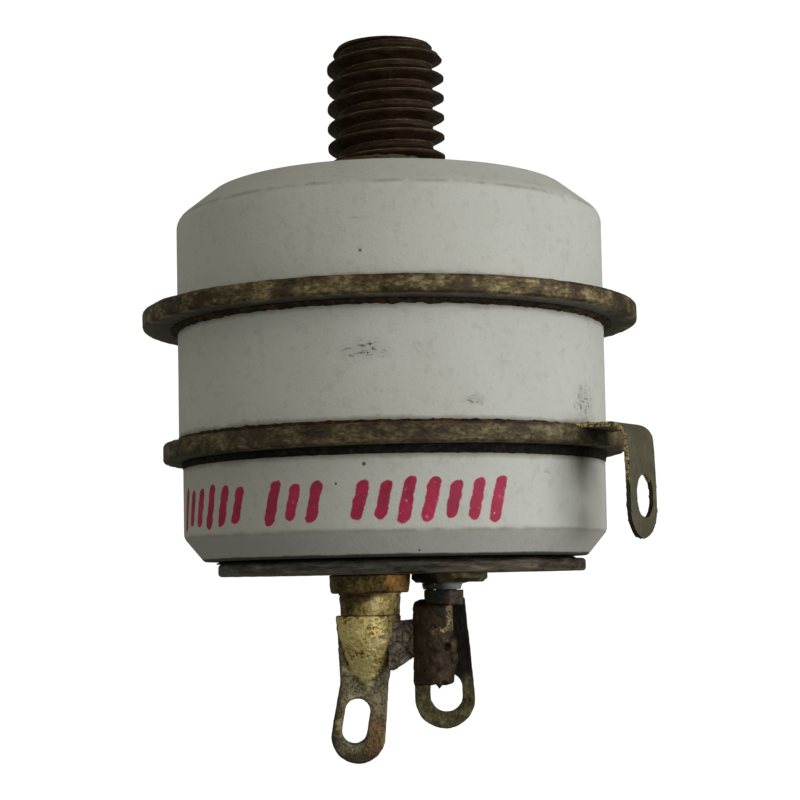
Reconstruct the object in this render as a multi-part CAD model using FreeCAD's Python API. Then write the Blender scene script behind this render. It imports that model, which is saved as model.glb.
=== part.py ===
import FreeCAD, Part
import math
import os

# A metal-ceramic planar triode with a threaded anode stud, in millimetres, +Z up.
# The origin is on the tube's axis, on top of the anode collar, where a heat sink seats.
# The heater terminals hang below, in the XZ plane, the second one on the +X side.

# Anode stud: a 10-32 unified fine thread, right-hand.
thread_major_r = 2.33
thread_pitch = 0.794
thread_depth = 0.45
thread_root_flat = thread_pitch / 4
thread_crest_flat = thread_pitch / 8
thread_crest_azimuth = 22.0
stud_length = 5.16
stud_chamfer = 0.42
stud_chamfer_height = 0.60
thread_sink = 0.10
shank_length = 3.65

# Ceramic body: two sections of one radius, and a lower one. None sits quite on the axis.
body_r = 8.39
body_offset = 0.03
body_bore_r = 5.5
end_wall_t = 1.8
end_wall_bore_r = 2.45
top_chamfer_r = 7.02
top_chamfer_height = 1.08
chamfer_round = 0.60
lower_body_r = 8.28
lower_body_offset = 0.08
bottom_chamfer_r = 7.50
bottom_chamfer_height = 0.94

# Thicknesses of the stack, from the seat down.
collar_t = 0.80
anode_braze_t = 0.05
upper_ceramic_t = 4.54
thin_braze_t = 0.06
grid_flange_t = 0.71
grid_braze_t = 0.11
middle_ceramic_t = 4.19
cathode_top_braze_t = 0.08
cathode_ring_t = 0.76
cathode_braze_t = 0.28
lower_ceramic_t = 3.63
heater_braze_t = 0.10
heater_disc_t = 0.49

# Radii of the metal pieces in the stack.
collar_r = 3.55
anode_braze_r = 3.70
seal_inner_r = 5.6
grid_flange_r = 9.73
grid_flange_hole_r = 4.0
cathode_ring_r = 9.07
cathode_ring_hole_r = 3.7
cathode_ring_offset = 0.08
heater_braze_r = 6.75
heater_disc_r = 7.20
heater_disc_offset = 0.30
rim_round = 0.15

# Anode, grid and cathode inside the envelope.
anode_block_r = 3.2
anode_face_drop = 0.30
anode_socket_depth = 1.0
grid_frame_r = 4.9
grid_window_r = 2.4
grid_frame_t = 0.15
grid_wire_r = 0.04
grid_wire_pitch = 0.36
grid_wire_count = 13
grid_wire_reach_r = 3.4
sleeve_r = 3.1
sleeve_wall = 0.10
sleeve_length = 3.3
sleeve_flange_r = 4.6
sleeve_flange_t = 0.15
cap_to_grid = 0.18
cap_wall = 0.12
cap_length = 1.6
coating_r = 2.3
coating_t = 0.08

# Heater inside the cathode sleeve: one wire folded to and fro below the cap.
fold_count = 8
fold_pitch = 0.4
fold_reach_r = 2.0
heater_wire_r = 0.15
heater_below_cap = 0.75
lead_r = 0.22
lead_bend_drop = 1.6
shield_t = 0.12
shield_above_ring = 0.55
shield_hole_r = 0.45
pin_inside_length = 0.5

# Cathode solder lug: a thin sheet let into the ring's top and bent down beside the body.
sheet_t = 0.20
sheet_rise = 0.02
lug_azimuth = -32.0
lug_flare_width = 3.50
lug_root_width = 2.30
lug_shift = -0.12
lug_tip_r = 1.16
lug_reach_r = 10.80
lug_bend_r = 0.50
lug_splay = 1.0
lug_drop = 4.17
lug_hole_width = 1.36
lug_hole_length = 1.57
lug_hole_above_tip = 1.55
lug_hole_shift = 0.0
lug_body_gap = 0.05

# First heater terminal: a turned post and a tube pressed flat into a lug.
post_a_x = -0.98
post_a_collar_r = 1.61
post_a_collar_low_r = 1.56
post_a_collar_length = 0.74
post_a_neck_r = 1.25
post_a_neck_low_r = 1.17
post_a_neck_length = 0.86
post_a_pin_r = 0.60
post_a_spigot_r = 0.90
post_a_spigot_length = 0.9
lug_a_tube_r = 1.26
lug_a_tube_x = -1.07
lug_a_cone_length = 2.4
lug_a_cone_tip_r = 0.35
lug_a_cone_tip_x = -1.15
lug_a_round_length = 0.55
lug_a_plate_t = 0.46
lug_a_bottom_drop = 5.78
lug_a_tip_r = 1.08
lug_a_tip_x = -1.52
lug_a_lean = 8.0
lug_a_waist_x = -1.25
lug_a_waist_half = 0.97
lug_a_waist_drop = 2.6
lug_a_hole_width = 0.98
lug_a_hole_length = 1.75
lug_a_hole_tilt = 10.0
lug_a_hole_x = -1.60
lug_a_hole_above_bottom = 1.66

# Second heater terminal: washer, glass bead, pin, collar, flat lug and crimped barrel.
pin_b_x = 1.97
pin_b_r = 0.35
glass_r = 0.95
glass_cone_x = 1.85
glass_cone_top_r = 0.82
glass_cone_bottom_r = 0.74
glass_cone_length = 0.27
washer_b_x = 2.16
washer_b_r = 1.50
washer_b_t = 0.37
nut_b_x = 1.93
nut_b_r = 0.79
nut_b_length = 0.63
nut_b_hidden = 0.30
lug_b_t = 0.32
lug_b_back_y = 0.45
lug_b_top_half_width = 1.03
lug_b_top_x = 1.73
lug_b_tip_r = 1.19
lug_b_tip_x = 1.91
lug_b_bottom_drop = 6.10
lug_b_hole_x = 1.97
lug_b_hole_width = 1.24
lug_b_hole_length = 1.52
lug_b_hole_above_bottom = 1.43
barrel_b_x = 1.46
barrel_b_y = -0.69
barrel_b_r = 0.80
barrel_b_bore_r = 0.50
barrel_b_drop = 1.20
barrel_b_length = 3.28
barrel_bump_r = 0.30
barrel_bump_x = 2.12
barrel_bump_y = -0.95
barrel_bump_top = 1.22
barrel_bump_length = 1.50

# Lump of solder between the two heater terminals.
# Its corners seen from the front: place along X and distance below the lump's top.
solder_corners = ((-0.35, 0.06), (0.80, 0.0), (0.80, 1.50), (0.45, 1.75), (-0.15, 2.10), (-0.35, 2.05))
solder_drop = 1.73
solder_depth = 1.10
solder_y = -0.30

up = FreeCAD.Vector(0, 0, 1)
origin = FreeCAD.Vector(0, 0, 0)

# Levels of the stack.
z_collar_bottom = -collar_t
z_upper_top = z_collar_bottom - anode_braze_t
z_upper_bottom = z_upper_top - upper_ceramic_t
z_flange_top = z_upper_bottom - thin_braze_t
z_flange_bottom = z_flange_top - grid_flange_t
z_middle_top = z_flange_bottom - grid_braze_t
z_middle_bottom = z_middle_top - middle_ceramic_t
z_ring_top = z_middle_bottom - cathode_top_braze_t
z_ring_bottom = z_ring_top - cathode_ring_t
z_lower_top = z_ring_bottom - cathode_braze_t
z_lower_bottom = z_lower_top - lower_ceramic_t
z_disc_top = z_lower_bottom - heater_braze_t
z_disc_bottom = z_disc_top - heater_disc_t
z_pins_top = z_disc_top + pin_inside_length
z_cap_top = z_flange_bottom - grid_frame_t - cap_to_grid


def cylinder(r, z_low, z_high, x=0.0, y=0.0):
    return Part.makeCylinder(r, z_high - z_low, FreeCAD.Vector(x, y, z_low), up)


def ring(r_out, r_in, z_low, z_high, x=0.0, y=0.0):
    outside = cylinder(r_out, z_low, z_high, x, y)
    return outside.cut(cylinder(r_in, z_low, z_high, x, y))


def cone(r_low, r_high, z_low, z_high, x=0.0, y=0.0):
    base = FreeCAD.Vector(x, y, z_low)
    return Part.makeCone(r_low, r_high, z_high - z_low, base, up)


def rounded_rim(shape, r, size):
    """Rounds the circular edges of radius r that lie around Z."""
    rims = [e for e in shape.Edges if isinstance(e.Curve, Part.Circle) and abs(e.Curve.Radius - r) < 1e-6]
    return shape.makeFillet(size, rims)


def plate_xz(edges, thickness, y_middle):
    """A plate parallel to XZ, from a closed outline drawn at y = 0."""
    face = Part.Face(Part.Wire(edges))
    plate = face.extrude(FreeCAD.Vector(0, thickness, 0))
    plate.translate(FreeCAD.Vector(0, y_middle - thickness / 2, 0))
    return plate


def at_xz(x, z):
    return FreeCAD.Vector(x, 0, z)


def oval_hole(width, length, x, z, tilt, depth):
    """A stadium-shaped cutter through y, its long way along Z, tilted about Y in degrees."""
    r = width / 2
    half = length / 2 - r
    edges = [
        Part.makeLine(at_xz(-r, -half), at_xz(-r, half)),
        Part.Arc(at_xz(-r, half), at_xz(0, half + r), at_xz(r, half)).toShape(),
        Part.makeLine(at_xz(r, half), at_xz(r, -half)),
        Part.Arc(at_xz(r, -half), at_xz(0, -half - r), at_xz(-r, -half)).toShape(),
    ]
    hole = plate_xz(edges, depth, 0)
    hole.rotate(origin, FreeCAD.Vector(0, 1, 0), tilt)
    hole.translate(FreeCAD.Vector(x, 0, z))
    return hole


def tapered_lug(top_x, top_half, z_top, tip_x, tip_r, z_bottom, thickness, y_middle):
    """A flat lug whose straight sides run from its top edge to a half-round tip."""
    z_tip = z_bottom + tip_r
    edges = [
        Part.makeLine(at_xz(top_x - top_half, z_top), at_xz(top_x + top_half, z_top)),
        Part.makeLine(at_xz(top_x + top_half, z_top), at_xz(tip_x + tip_r, z_tip)),
        Part.Arc(
            at_xz(tip_x + tip_r, z_tip), at_xz(tip_x, z_bottom), at_xz(tip_x - tip_r, z_tip)
        ).toShape(),
        Part.makeLine(at_xz(tip_x - tip_r, z_tip), at_xz(top_x - top_half, z_top)),
    ]
    return plate_xz(edges, thickness, y_middle)


def bent_wire(points, r):
    """A round wire along straight runs, with a ball at each bend."""
    runs = []
    for start, end in zip(points, points[1:]):
        way = end.sub(start)
        runs.append(Part.makeCylinder(r, way.Length, start, way))
    balls = [Part.makeSphere(r, p) for p in points[1:-1]]
    return runs[0].fuse(runs[1:] + balls).removeSplitter()


def polar(r, azimuth):
    angle = math.radians(azimuth)
    return FreeCAD.Vector(r * math.cos(angle), r * math.sin(angle), 0)


def arc_between(r, start, end):
    return Part.Arc(polar(r, start), polar(r, (start + end) / 2), polar(r, end)).toShape()


def spiral_between(r_start, r_end, start, end, steps=8):
    """A flank of the thread, seen in a section across the axis: the radius changes evenly with azimuth."""
    points = []
    for i in range(steps + 1):
        share = i / steps
        points.append(polar(r_start + (r_end - r_start) * share, start + (end - start) * share))
    curve = Part.BSplineCurve()
    curve.interpolate(points)
    return curve.toShape()


def thread_section():
    """The section of a single-start thread across its axis, with the crest centred on azimuth 0."""
    root_r = thread_major_r - thread_depth
    crest = 180 * thread_crest_flat / thread_pitch
    root = 180 * thread_root_flat / thread_pitch
    return Part.Wire([
        arc_between(thread_major_r, -crest, crest),
        spiral_between(thread_major_r, root_r, crest, 180 - root),
        arc_between(root_r, 180 - root, 180 + root),
        spiral_between(root_r, thread_major_r, 180 + root, 360 - crest),
    ])


def threaded_rod(z_low, z_high):
    """The section carried up the axis, turning once counter-clockwise for each pitch: right-handed."""
    length = z_high - z_low
    spine = Part.Wire([Part.makeLine(origin, FreeCAD.Vector(0, 0, length))])
    guide = Part.Wire(Part.makeHelix(thread_pitch, length, 1.0).Edges)
    sweep = Part.BRepOffsetAPI.MakePipeShell(spine)
    sweep.setAuxiliarySpine(guide, True, 0)
    sweep.add(thread_section())
    sweep.build()
    sweep.makeSolid()
    rod = sweep.shape()
    rod.rotate(origin, up, thread_crest_azimuth + 360 * z_low / thread_pitch)
    rod.translate(FreeCAD.Vector(0, 0, z_low))
    return rod


def anode_stud():
    """The chamfered thread, which starts just below the seat, and a plain shank down to the anode."""
    z_chamfer = stud_length - stud_chamfer_height
    outside = cylinder(thread_major_r + 1, z_chamfer, stud_length)
    chamfer = outside.cut(cone(thread_major_r, thread_major_r - stud_chamfer, z_chamfer, stud_length))
    threaded = threaded_rod(-thread_sink, stud_length).cut(chamfer)
    return threaded.fuse(cylinder(thread_major_r, -shank_length, -thread_sink))


def anode_collar():
    return rounded_rim(ring(collar_r, thread_major_r, z_collar_bottom, 0), collar_r, 0.1)


def anode_braze():
    return ring(anode_braze_r, end_wall_bore_r, z_upper_top, z_collar_bottom)


def anode_block():
    z_top = z_upper_top - end_wall_t
    block = cylinder(anode_block_r, z_upper_bottom - anode_face_drop, z_top)
    return block.cut(cylinder(thread_major_r, z_top - anode_socket_depth, z_top))


def chamfered_body(r, r_end, z_flat, z_chamfer, z_end):
    """A turned body: straight from z_flat to z_chamfer, then a cone to z_end, with a round corner."""
    outline = ((0, z_flat), (r, z_flat), (r, z_chamfer), (r_end, z_end), (0, z_end))
    corners = [at_xz(x, z) for x, z in outline]
    solid = Part.Face(Part.makePolygon(corners + corners[:1])).revolve(origin, up, 360)
    edge = [
        e for e in solid.Edges
        if isinstance(e.Curve, Part.Circle) and abs(e.Curve.Center.z - z_chamfer) < 1e-6
    ]
    return solid.makeFillet(chamfer_round, edge)


def upper_ceramic():
    z_chamfer = z_upper_top - top_chamfer_height
    solid = chamfered_body(body_r, top_chamfer_r, z_upper_bottom, z_chamfer, z_upper_top)
    solid = solid.cut(cylinder(body_bore_r, z_upper_bottom, z_upper_top - end_wall_t))
    solid = solid.cut(cylinder(end_wall_bore_r, z_upper_bottom, z_upper_top))
    solid.translate(FreeCAD.Vector(body_offset, 0, 0))
    return solid


def grid_flange():
    return rounded_rim(
        ring(grid_flange_r, grid_flange_hole_r, z_flange_bottom, z_flange_top), grid_flange_r, rim_round
    )


def grid_frame():
    return ring(grid_frame_r, grid_window_r, z_flange_bottom - grid_frame_t, z_flange_bottom)


def grid_wires():
    """Parallel wires along X, laid on the frame across its window."""
    wires = []
    along = FreeCAD.Vector(1, 0, 0)
    for i in range(grid_wire_count):
        y = (i - (grid_wire_count - 1) / 2) * grid_wire_pitch
        half = math.sqrt(grid_wire_reach_r**2 - y**2)
        start = FreeCAD.Vector(-half, y, z_flange_bottom + grid_wire_r)
        wires.append(Part.makeCylinder(grid_wire_r, 2 * half, start, along))
    return Part.makeCompound(wires)


def middle_ceramic():
    return ring(body_r, body_bore_r, z_middle_bottom, z_middle_top, body_offset)


def cathode_ring():
    """The ring, rebated on its top where the solder lug's sheet is let in."""
    whole = ring(cathode_ring_r, cathode_ring_hole_r, z_ring_bottom, z_ring_top)
    whole = rounded_rim(whole, cathode_ring_r, rim_round)
    whole.translate(FreeCAD.Vector(cathode_ring_offset, 0, 0))
    return whole.cut(cathode_lug())


def cathode_sleeve():
    tube = ring(sleeve_r, sleeve_r - sleeve_wall, z_ring_top, z_ring_top + sleeve_length)
    flange = ring(sleeve_flange_r, sleeve_r, z_ring_top, z_ring_top + sleeve_flange_t)
    return tube.fuse(flange).removeSplitter()


def cathode_cap():
    cap_r = sleeve_r - sleeve_wall
    cap = cylinder(cap_r, z_cap_top - cap_length, z_cap_top)
    return cap.cut(cylinder(cap_r - cap_wall, z_cap_top - cap_length, z_cap_top - cap_wall))


def cathode_coating():
    return cylinder(coating_r, z_cap_top, z_cap_top + coating_t)


def heater_level():
    """The height of the heater wire's centreline."""
    return z_cap_top - cap_wall - heater_below_cap


def lead_reach():
    """How far each lead stands from the axis: below the middle of the heater's end runs."""
    return fold_pitch * fold_count / 2


def heater_wire():
    """Runs along Y, joined at alternate ends. The first and last start from the middle of their runs."""
    z = heater_level()
    points = [FreeCAD.Vector(-lead_reach(), 0, z)]
    for i in range(fold_count + 1):
        x = i * fold_pitch - lead_reach()
        half = math.sqrt(fold_reach_r**2 - x**2)
        side = 1 if i % 2 == 0 else -1
        if i > 0:
            points.append(FreeCAD.Vector(x, -side * half, z))
        if i < fold_count:
            points.append(FreeCAD.Vector(x, side * half, z))
    points.append(FreeCAD.Vector(lead_reach(), 0, z))
    return bent_wire(points, heater_wire_r)


def heater_lead(side, x_pin):
    """From the heater wire straight down, then out or in to its pin. side is -1 or 1."""
    x_top = side * lead_reach()
    points = [
        FreeCAD.Vector(x_top, 0, heater_level() - heater_wire_r),
        FreeCAD.Vector(x_top, 0, z_ring_top),
        FreeCAD.Vector(x_pin, 0, z_ring_top - lead_bend_drop),
        FreeCAD.Vector(x_pin, 0, z_pins_top),
    ]
    return bent_wire(points, lead_r)


def heat_shield():
    z_low = z_ring_top + shield_above_ring
    disc = cylinder(sleeve_r - sleeve_wall, z_low, z_low + shield_t)
    for x in (-lead_reach(), lead_reach()):
        disc = disc.cut(cylinder(shield_hole_r, z_low, z_low + shield_t, x))
    return disc


def sheet_profile():
    """The lug's sheet seen from the side: along the ring's top, round the bend and down."""
    z_top = z_ring_top + sheet_rise
    z_end = z_ring_top - lug_drop
    x_start = body_r - 1.0
    inner = lug_bend_r
    outer = lug_bend_r + sheet_t
    x_bend = lug_reach_r - outer
    z_bend = z_top - outer
    splay = math.radians(lug_splay)

    def on_bend(r, turn):
        return at_xz(x_bend + r * math.cos(turn), z_bend + r * math.sin(turn))

    def at_end(r):
        leaves = on_bend(r, splay)
        return at_xz(leaves.x + (leaves.z - z_end) * math.tan(splay), z_end)

    def bend(r):
        halfway = (math.pi / 2 + splay) / 2
        return Part.Arc(on_bend(r, math.pi / 2), on_bend(r, halfway), on_bend(r, splay)).toShape()

    return [
        Part.makeLine(at_xz(x_start, z_top), on_bend(outer, math.pi / 2)),
        bend(outer),
        Part.makeLine(on_bend(outer, splay), at_end(outer)),
        Part.makeLine(at_end(outer), at_end(inner)),
        Part.makeLine(at_end(inner), on_bend(inner, splay)),
        bend(inner),
        Part.makeLine(on_bend(inner, math.pi / 2), at_xz(x_start, z_top - sheet_t)),
        Part.makeLine(at_xz(x_start, z_top - sheet_t), at_xz(x_start, z_top)),
    ]


def lug_flare():
    """The sheet's root, seen from above: wide at the body and as narrow as the strip at the bend."""
    z_low = z_ring_top + sheet_rise - sheet_t
    x_start = body_r - 1.0
    x_end = lug_reach_r - lug_bend_r - sheet_t
    half_start = lug_flare_width / 2
    half_end = lug_root_width / 2
    corners = [
        FreeCAD.Vector(x_start, lug_shift - half_start, z_low),
        FreeCAD.Vector(x_end, lug_shift - half_end, z_low),
        FreeCAD.Vector(x_end, lug_shift + half_end, z_low),
        FreeCAD.Vector(x_start, lug_shift + half_start, z_low),
    ]
    return Part.Face(Part.makePolygon(corners + corners[:1])).extrude(up * sheet_t)


def cathode_lug():
    z_end = z_ring_top - lug_drop
    depth = 4 * body_r
    sheet = plate_xz(sheet_profile(), 4 * lug_tip_r, 0)
    outline = tapered_lug(
        lug_shift, lug_root_width / 2, z_ring_top + 1, lug_shift, lug_tip_r, z_end, depth, 0
    )
    hole_z = z_end + lug_hole_above_tip
    hole = oval_hole(lug_hole_width, lug_hole_length, lug_hole_shift, hole_z, 0, depth / 4)
    for cutter in (outline, hole):
        cutter.rotate(origin, up, 90)
    hole.translate(FreeCAD.Vector(lug_reach_r, 0, 0))
    lug = sheet.common(outline).cut(hole).fuse(lug_flare()).removeSplitter()
    lug.rotate(origin, up, lug_azimuth)
    return lug.cut(cylinder(body_r + lug_body_gap, z_ring_top - 1, z_ring_top + 1))


def lower_ceramic():
    z_chamfer = z_lower_bottom + bottom_chamfer_height
    solid = chamfered_body(lower_body_r, bottom_chamfer_r, z_lower_top, z_chamfer, z_lower_bottom)
    solid = solid.cut(cylinder(body_bore_r, z_lower_bottom, z_lower_top))
    solid.translate(FreeCAD.Vector(lower_body_offset, 0, 0))
    return solid


def heater_disc():
    disc = cylinder(heater_disc_r, z_disc_bottom, z_disc_top, heater_disc_offset)
    disc = rounded_rim(disc, heater_disc_r, rim_round)
    disc = disc.cut(cylinder(post_a_pin_r, z_disc_bottom, z_disc_top, post_a_x))
    return disc.cut(cylinder(glass_r, z_disc_bottom, z_disc_top, pin_b_x))


def heater_post_a():
    z_neck = z_disc_bottom - post_a_collar_length
    z_tube = z_neck - post_a_neck_length
    post = cone(post_a_collar_low_r, post_a_collar_r, z_neck, z_disc_bottom, post_a_x)
    post = rounded_rim(post, post_a_collar_low_r, 0.1)
    steps = [
        cone(post_a_neck_low_r, post_a_neck_r, z_tube, z_neck, post_a_x),
        cylinder(post_a_pin_r, z_disc_bottom, z_pins_top, post_a_x),
        cylinder(post_a_spigot_r, z_tube - post_a_spigot_length, z_tube, post_a_x),
    ]
    return post.fuse(steps)


def lug_a_outline(z_shoulder, z_waist, z_bottom):
    """The pressed plate from the front: tapered to a waist, then leaning to its round tip."""
    lean = math.radians(lug_a_lean)
    across = FreeCAD.Vector(lug_a_tip_r * math.cos(lean), 0, -lug_a_tip_r * math.sin(lean))
    below = FreeCAD.Vector(-lug_a_tip_r * math.sin(lean), 0, -lug_a_tip_r * math.cos(lean))
    centre = at_xz(lug_a_tip_x, z_bottom + lug_a_tip_r)
    tip_right = centre.add(across)
    tip_left = centre.sub(across)
    shoulder_left = at_xz(lug_a_tube_x - lug_a_tube_r, z_shoulder)
    shoulder_right = at_xz(lug_a_tube_x + lug_a_tube_r, z_shoulder)
    waist_left = at_xz(lug_a_waist_x - lug_a_waist_half, z_waist)
    waist_right = at_xz(lug_a_waist_x + lug_a_waist_half, z_waist)
    return [
        Part.makeLine(shoulder_left, shoulder_right),
        Part.makeLine(shoulder_right, waist_right),
        Part.makeLine(waist_right, tip_right),
        Part.Arc(tip_right, centre.add(below), tip_left).toShape(),
        Part.makeLine(tip_left, waist_left),
        Part.makeLine(waist_left, shoulder_left),
    ]


def heater_lug_a():
    """A tube at the top, closed to a cone and pressed flat into a leaning plate below."""
    z_top = z_disc_bottom - post_a_collar_length - post_a_neck_length
    z_cone = z_top - lug_a_round_length
    z_bottom = z_top - lug_a_bottom_drop
    z_cone_tip = z_cone - lug_a_cone_length
    cone_low = Part.makeCircle(lug_a_cone_tip_r, at_xz(lug_a_cone_tip_x, z_cone_tip))
    cone_high = Part.makeCircle(lug_a_tube_r, at_xz(lug_a_tube_x, z_cone))
    lug = Part.makeLoft([Part.Wire(cone_low), Part.Wire(cone_high)], True)
    lug = lug.fuse(cylinder(lug_a_tube_r, z_cone, z_top, lug_a_tube_x))
    outline = lug_a_outline(z_cone, z_top - lug_a_waist_drop, z_bottom)
    lug = lug.fuse(plate_xz(outline, lug_a_plate_t, 0))
    hole_z = z_bottom + lug_a_hole_above_bottom
    hole = oval_hole(lug_a_hole_width, lug_a_hole_length, lug_a_hole_x, hole_z, lug_a_hole_tilt, 4)
    lug = lug.cut(hole)
    return lug.cut(cylinder(post_a_spigot_r, z_top - post_a_spigot_length, z_top, post_a_x))


def heater_washer_b():
    z_low = z_disc_bottom - washer_b_t
    washer = cylinder(washer_b_r, z_low, z_disc_bottom, washer_b_x)
    return washer.cut(cylinder(glass_r, z_low, z_disc_bottom, pin_b_x))


def feedthrough_glass_b():
    z_washer = z_disc_bottom - washer_b_t
    z_low = z_washer - glass_cone_length
    glass = cylinder(glass_r, z_washer, z_disc_top, pin_b_x)
    glass = glass.fuse(cone(glass_cone_bottom_r, glass_cone_top_r, z_low, z_washer, glass_cone_x))
    return glass.cut(cylinder(pin_b_r, z_low, z_disc_top, pin_b_x))


def nut_b_levels():
    z_high = z_disc_bottom - washer_b_t - glass_cone_length
    return z_high - nut_b_length, z_high


def heater_pin_b():
    return cylinder(pin_b_r, nut_b_levels()[0], z_pins_top, pin_b_x)


def heater_nut_b():
    z_low, z_high = nut_b_levels()
    nut = rounded_rim(cylinder(nut_b_r, z_low, z_high, nut_b_x), nut_b_r, 0.12)
    return nut.cut(cylinder(pin_b_r, z_low, z_high, pin_b_x))


def heater_lug_b():
    z_top = nut_b_levels()[0] + nut_b_hidden
    z_bottom = z_disc_bottom - lug_b_bottom_drop
    y_middle = lug_b_back_y - lug_b_t / 2
    lug = tapered_lug(
        lug_b_top_x, lug_b_top_half_width, z_top, lug_b_tip_x, lug_b_tip_r, z_bottom, lug_b_t, y_middle
    )
    hole_z = z_bottom + lug_b_hole_above_bottom
    lug = lug.cut(oval_hole(lug_b_hole_width, lug_b_hole_length, lug_b_hole_x, hole_z, 0, 4))
    z_low, z_high = nut_b_levels()
    return lug.cut(cylinder(nut_b_r, z_low, z_high, nut_b_x))


def heater_barrel_b():
    """A crimped sleeve in front of the lug, with a folded seam down its right side."""
    z_high = z_disc_bottom - barrel_b_drop
    z_low = z_high - barrel_b_length
    z_bump = z_high - barrel_bump_top
    barrel = cylinder(barrel_b_r, z_low, z_high, barrel_b_x, barrel_b_y)
    bump = cylinder(barrel_bump_r, z_bump - barrel_bump_length, z_bump, barrel_bump_x, barrel_bump_y)
    barrel = barrel.fuse(bump)
    bore = cylinder(barrel_b_bore_r, z_low, z_low + barrel_b_length / 2, barrel_b_x, barrel_b_y)
    barrel = barrel.cut(bore)
    barrel = barrel.cut(cylinder(nut_b_r, *nut_b_levels(), nut_b_x))
    lug_face_y = lug_b_back_y - lug_b_t
    behind = Part.makeBox(6, 6, 12, FreeCAD.Vector(-1, lug_face_y, z_low - 1))
    return barrel.cut(behind)


def heater_solder_a(neighbours):
    """A lump that fills between the first terminal's tube and the second's barrel."""
    z_top = z_disc_bottom - solder_drop
    corners = [at_xz(x, z_top - drop) for x, drop in solder_corners]
    edges = [Part.makeLine(corners[i - 1], corner) for i, corner in enumerate(corners)]
    lump = plate_xz(edges, solder_depth, solder_y)
    for neighbour in neighbours:
        lump = lump.cut(neighbour)
    return max(lump.Solids, key=lambda s: s.Volume)


def braze_rings():
    """Brazed joints, flush with the ceramic: name to outer radius, bottom, top and place along X."""
    return {
        "grid_braze_upper": (body_r, z_flange_top, z_upper_bottom, body_offset),
        "grid_braze_lower": (body_r, z_middle_top, z_flange_bottom, body_offset),
        "cathode_braze_upper": (body_r, z_ring_top, z_middle_bottom, body_offset),
        "cathode_braze_lower": (lower_body_r, z_lower_top, z_ring_bottom, lower_body_offset),
        "heater_braze": (heater_braze_r, z_disc_top, z_lower_bottom, lower_body_offset),
    }


def main():
    makers = [
        anode_stud, anode_collar, anode_braze, anode_block, upper_ceramic,
        grid_flange, grid_frame, grid_wires, middle_ceramic,
        cathode_ring, cathode_lug, cathode_sleeve, cathode_cap, cathode_coating,
        heat_shield, heater_wire,
        lower_ceramic, heater_disc, heater_post_a, heater_lug_a,
        heater_washer_b, feedthrough_glass_b, heater_pin_b, heater_nut_b,
        heater_lug_b, heater_barrel_b,
    ]
    pieces = {maker.__name__: maker() for maker in makers}
    pieces["heater_lead_a"] = heater_lead(-1, post_a_x)
    pieces["heater_lead_b"] = heater_lead(1, pin_b_x)
    solder_touches = ("heater_lug_a", "heater_post_a", "heater_barrel_b", "heater_lug_b")
    touching = [pieces[name] for name in solder_touches]
    pieces["heater_solder_a"] = heater_solder_a(touching)
    for name, (r, z_low, z_high, x) in braze_rings().items():
        pieces[name] = ring(r, seal_inner_r, z_low, z_high, x)

    os.makedirs("parts", exist_ok=True)
    for name, shape in pieces.items():
        if not shape.isValid() or not shape.Solids:
            raise ValueError(name + " is not a valid solid")
        shape.exportStep("parts/" + name + ".step")
        box = shape.BoundBox
        volume_text = f"{len(shape.Solids):3d} solids {shape.Volume:9.3f} mm3"
        print(f"{name:22s} {volume_text}  z {box.ZMin:8.3f} {box.ZMax:8.3f}")


main()
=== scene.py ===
import math

import bmesh
import bpy
from mathutils import Matrix, Vector, noise


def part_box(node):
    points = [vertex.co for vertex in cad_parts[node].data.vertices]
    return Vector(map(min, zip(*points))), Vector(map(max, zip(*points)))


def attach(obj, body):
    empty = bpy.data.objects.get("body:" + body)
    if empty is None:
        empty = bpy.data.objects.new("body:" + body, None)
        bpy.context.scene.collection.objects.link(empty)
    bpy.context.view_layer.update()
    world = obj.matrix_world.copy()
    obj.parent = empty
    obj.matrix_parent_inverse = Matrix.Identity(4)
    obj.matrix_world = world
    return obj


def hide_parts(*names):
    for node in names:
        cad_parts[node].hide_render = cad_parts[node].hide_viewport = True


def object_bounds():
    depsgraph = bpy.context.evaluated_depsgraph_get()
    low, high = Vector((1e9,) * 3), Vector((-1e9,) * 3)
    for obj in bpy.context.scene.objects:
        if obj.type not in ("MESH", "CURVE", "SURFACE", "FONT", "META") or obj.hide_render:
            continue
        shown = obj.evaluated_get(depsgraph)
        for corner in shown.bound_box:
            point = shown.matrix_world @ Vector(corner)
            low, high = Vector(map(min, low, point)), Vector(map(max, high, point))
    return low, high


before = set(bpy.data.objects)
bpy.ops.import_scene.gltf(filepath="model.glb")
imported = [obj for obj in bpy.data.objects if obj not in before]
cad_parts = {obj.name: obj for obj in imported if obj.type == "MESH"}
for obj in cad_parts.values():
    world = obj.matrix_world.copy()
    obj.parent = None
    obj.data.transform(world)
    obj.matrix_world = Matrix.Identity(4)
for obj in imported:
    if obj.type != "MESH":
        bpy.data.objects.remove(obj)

# The looks of a brazed metal-ceramic planar triode. Meshes are built in millimetres in the
# row frame, from the CAD nodes' boxes, and scaled to metres when they become pieces.

MM = 0.001
TURN = 2 * math.pi

cad_low, cad_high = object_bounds()

# Camera, in millimetres and degrees. Its shift is a share of the picture's width.
CAMERA_PLACE = (-0.014, -73.00, -16.02)
CAMERA_LENS = 83.38
CAMERA_PITCH = 3.565
CAMERA_YAW = -0.247
CAMERA_ROLL = 1.072
CAMERA_SHIFT = 0.08

# Stage: the floor's distance below the lowest lug in millimetres, and how brightly it glows.
FLOOR_GAP = 0.05
BACKDROP_GLOW = 0.93

# Lamps: name, azimuth and elevation in degrees, distance and size in metres, watts, colour.
# Azimuth 0 is the camera's side and 90 is +X.
LAMPS = (
    ("window", 58.0, 2.0, 0.30, (0.26, 0.20), 0.53, (0.985, 1.0, 0.995)),
    ("fill", -42.0, 6.0, 0.40, (0.12, 0.12), 0.11, (1.0, 0.99, 0.95)),
)

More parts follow.
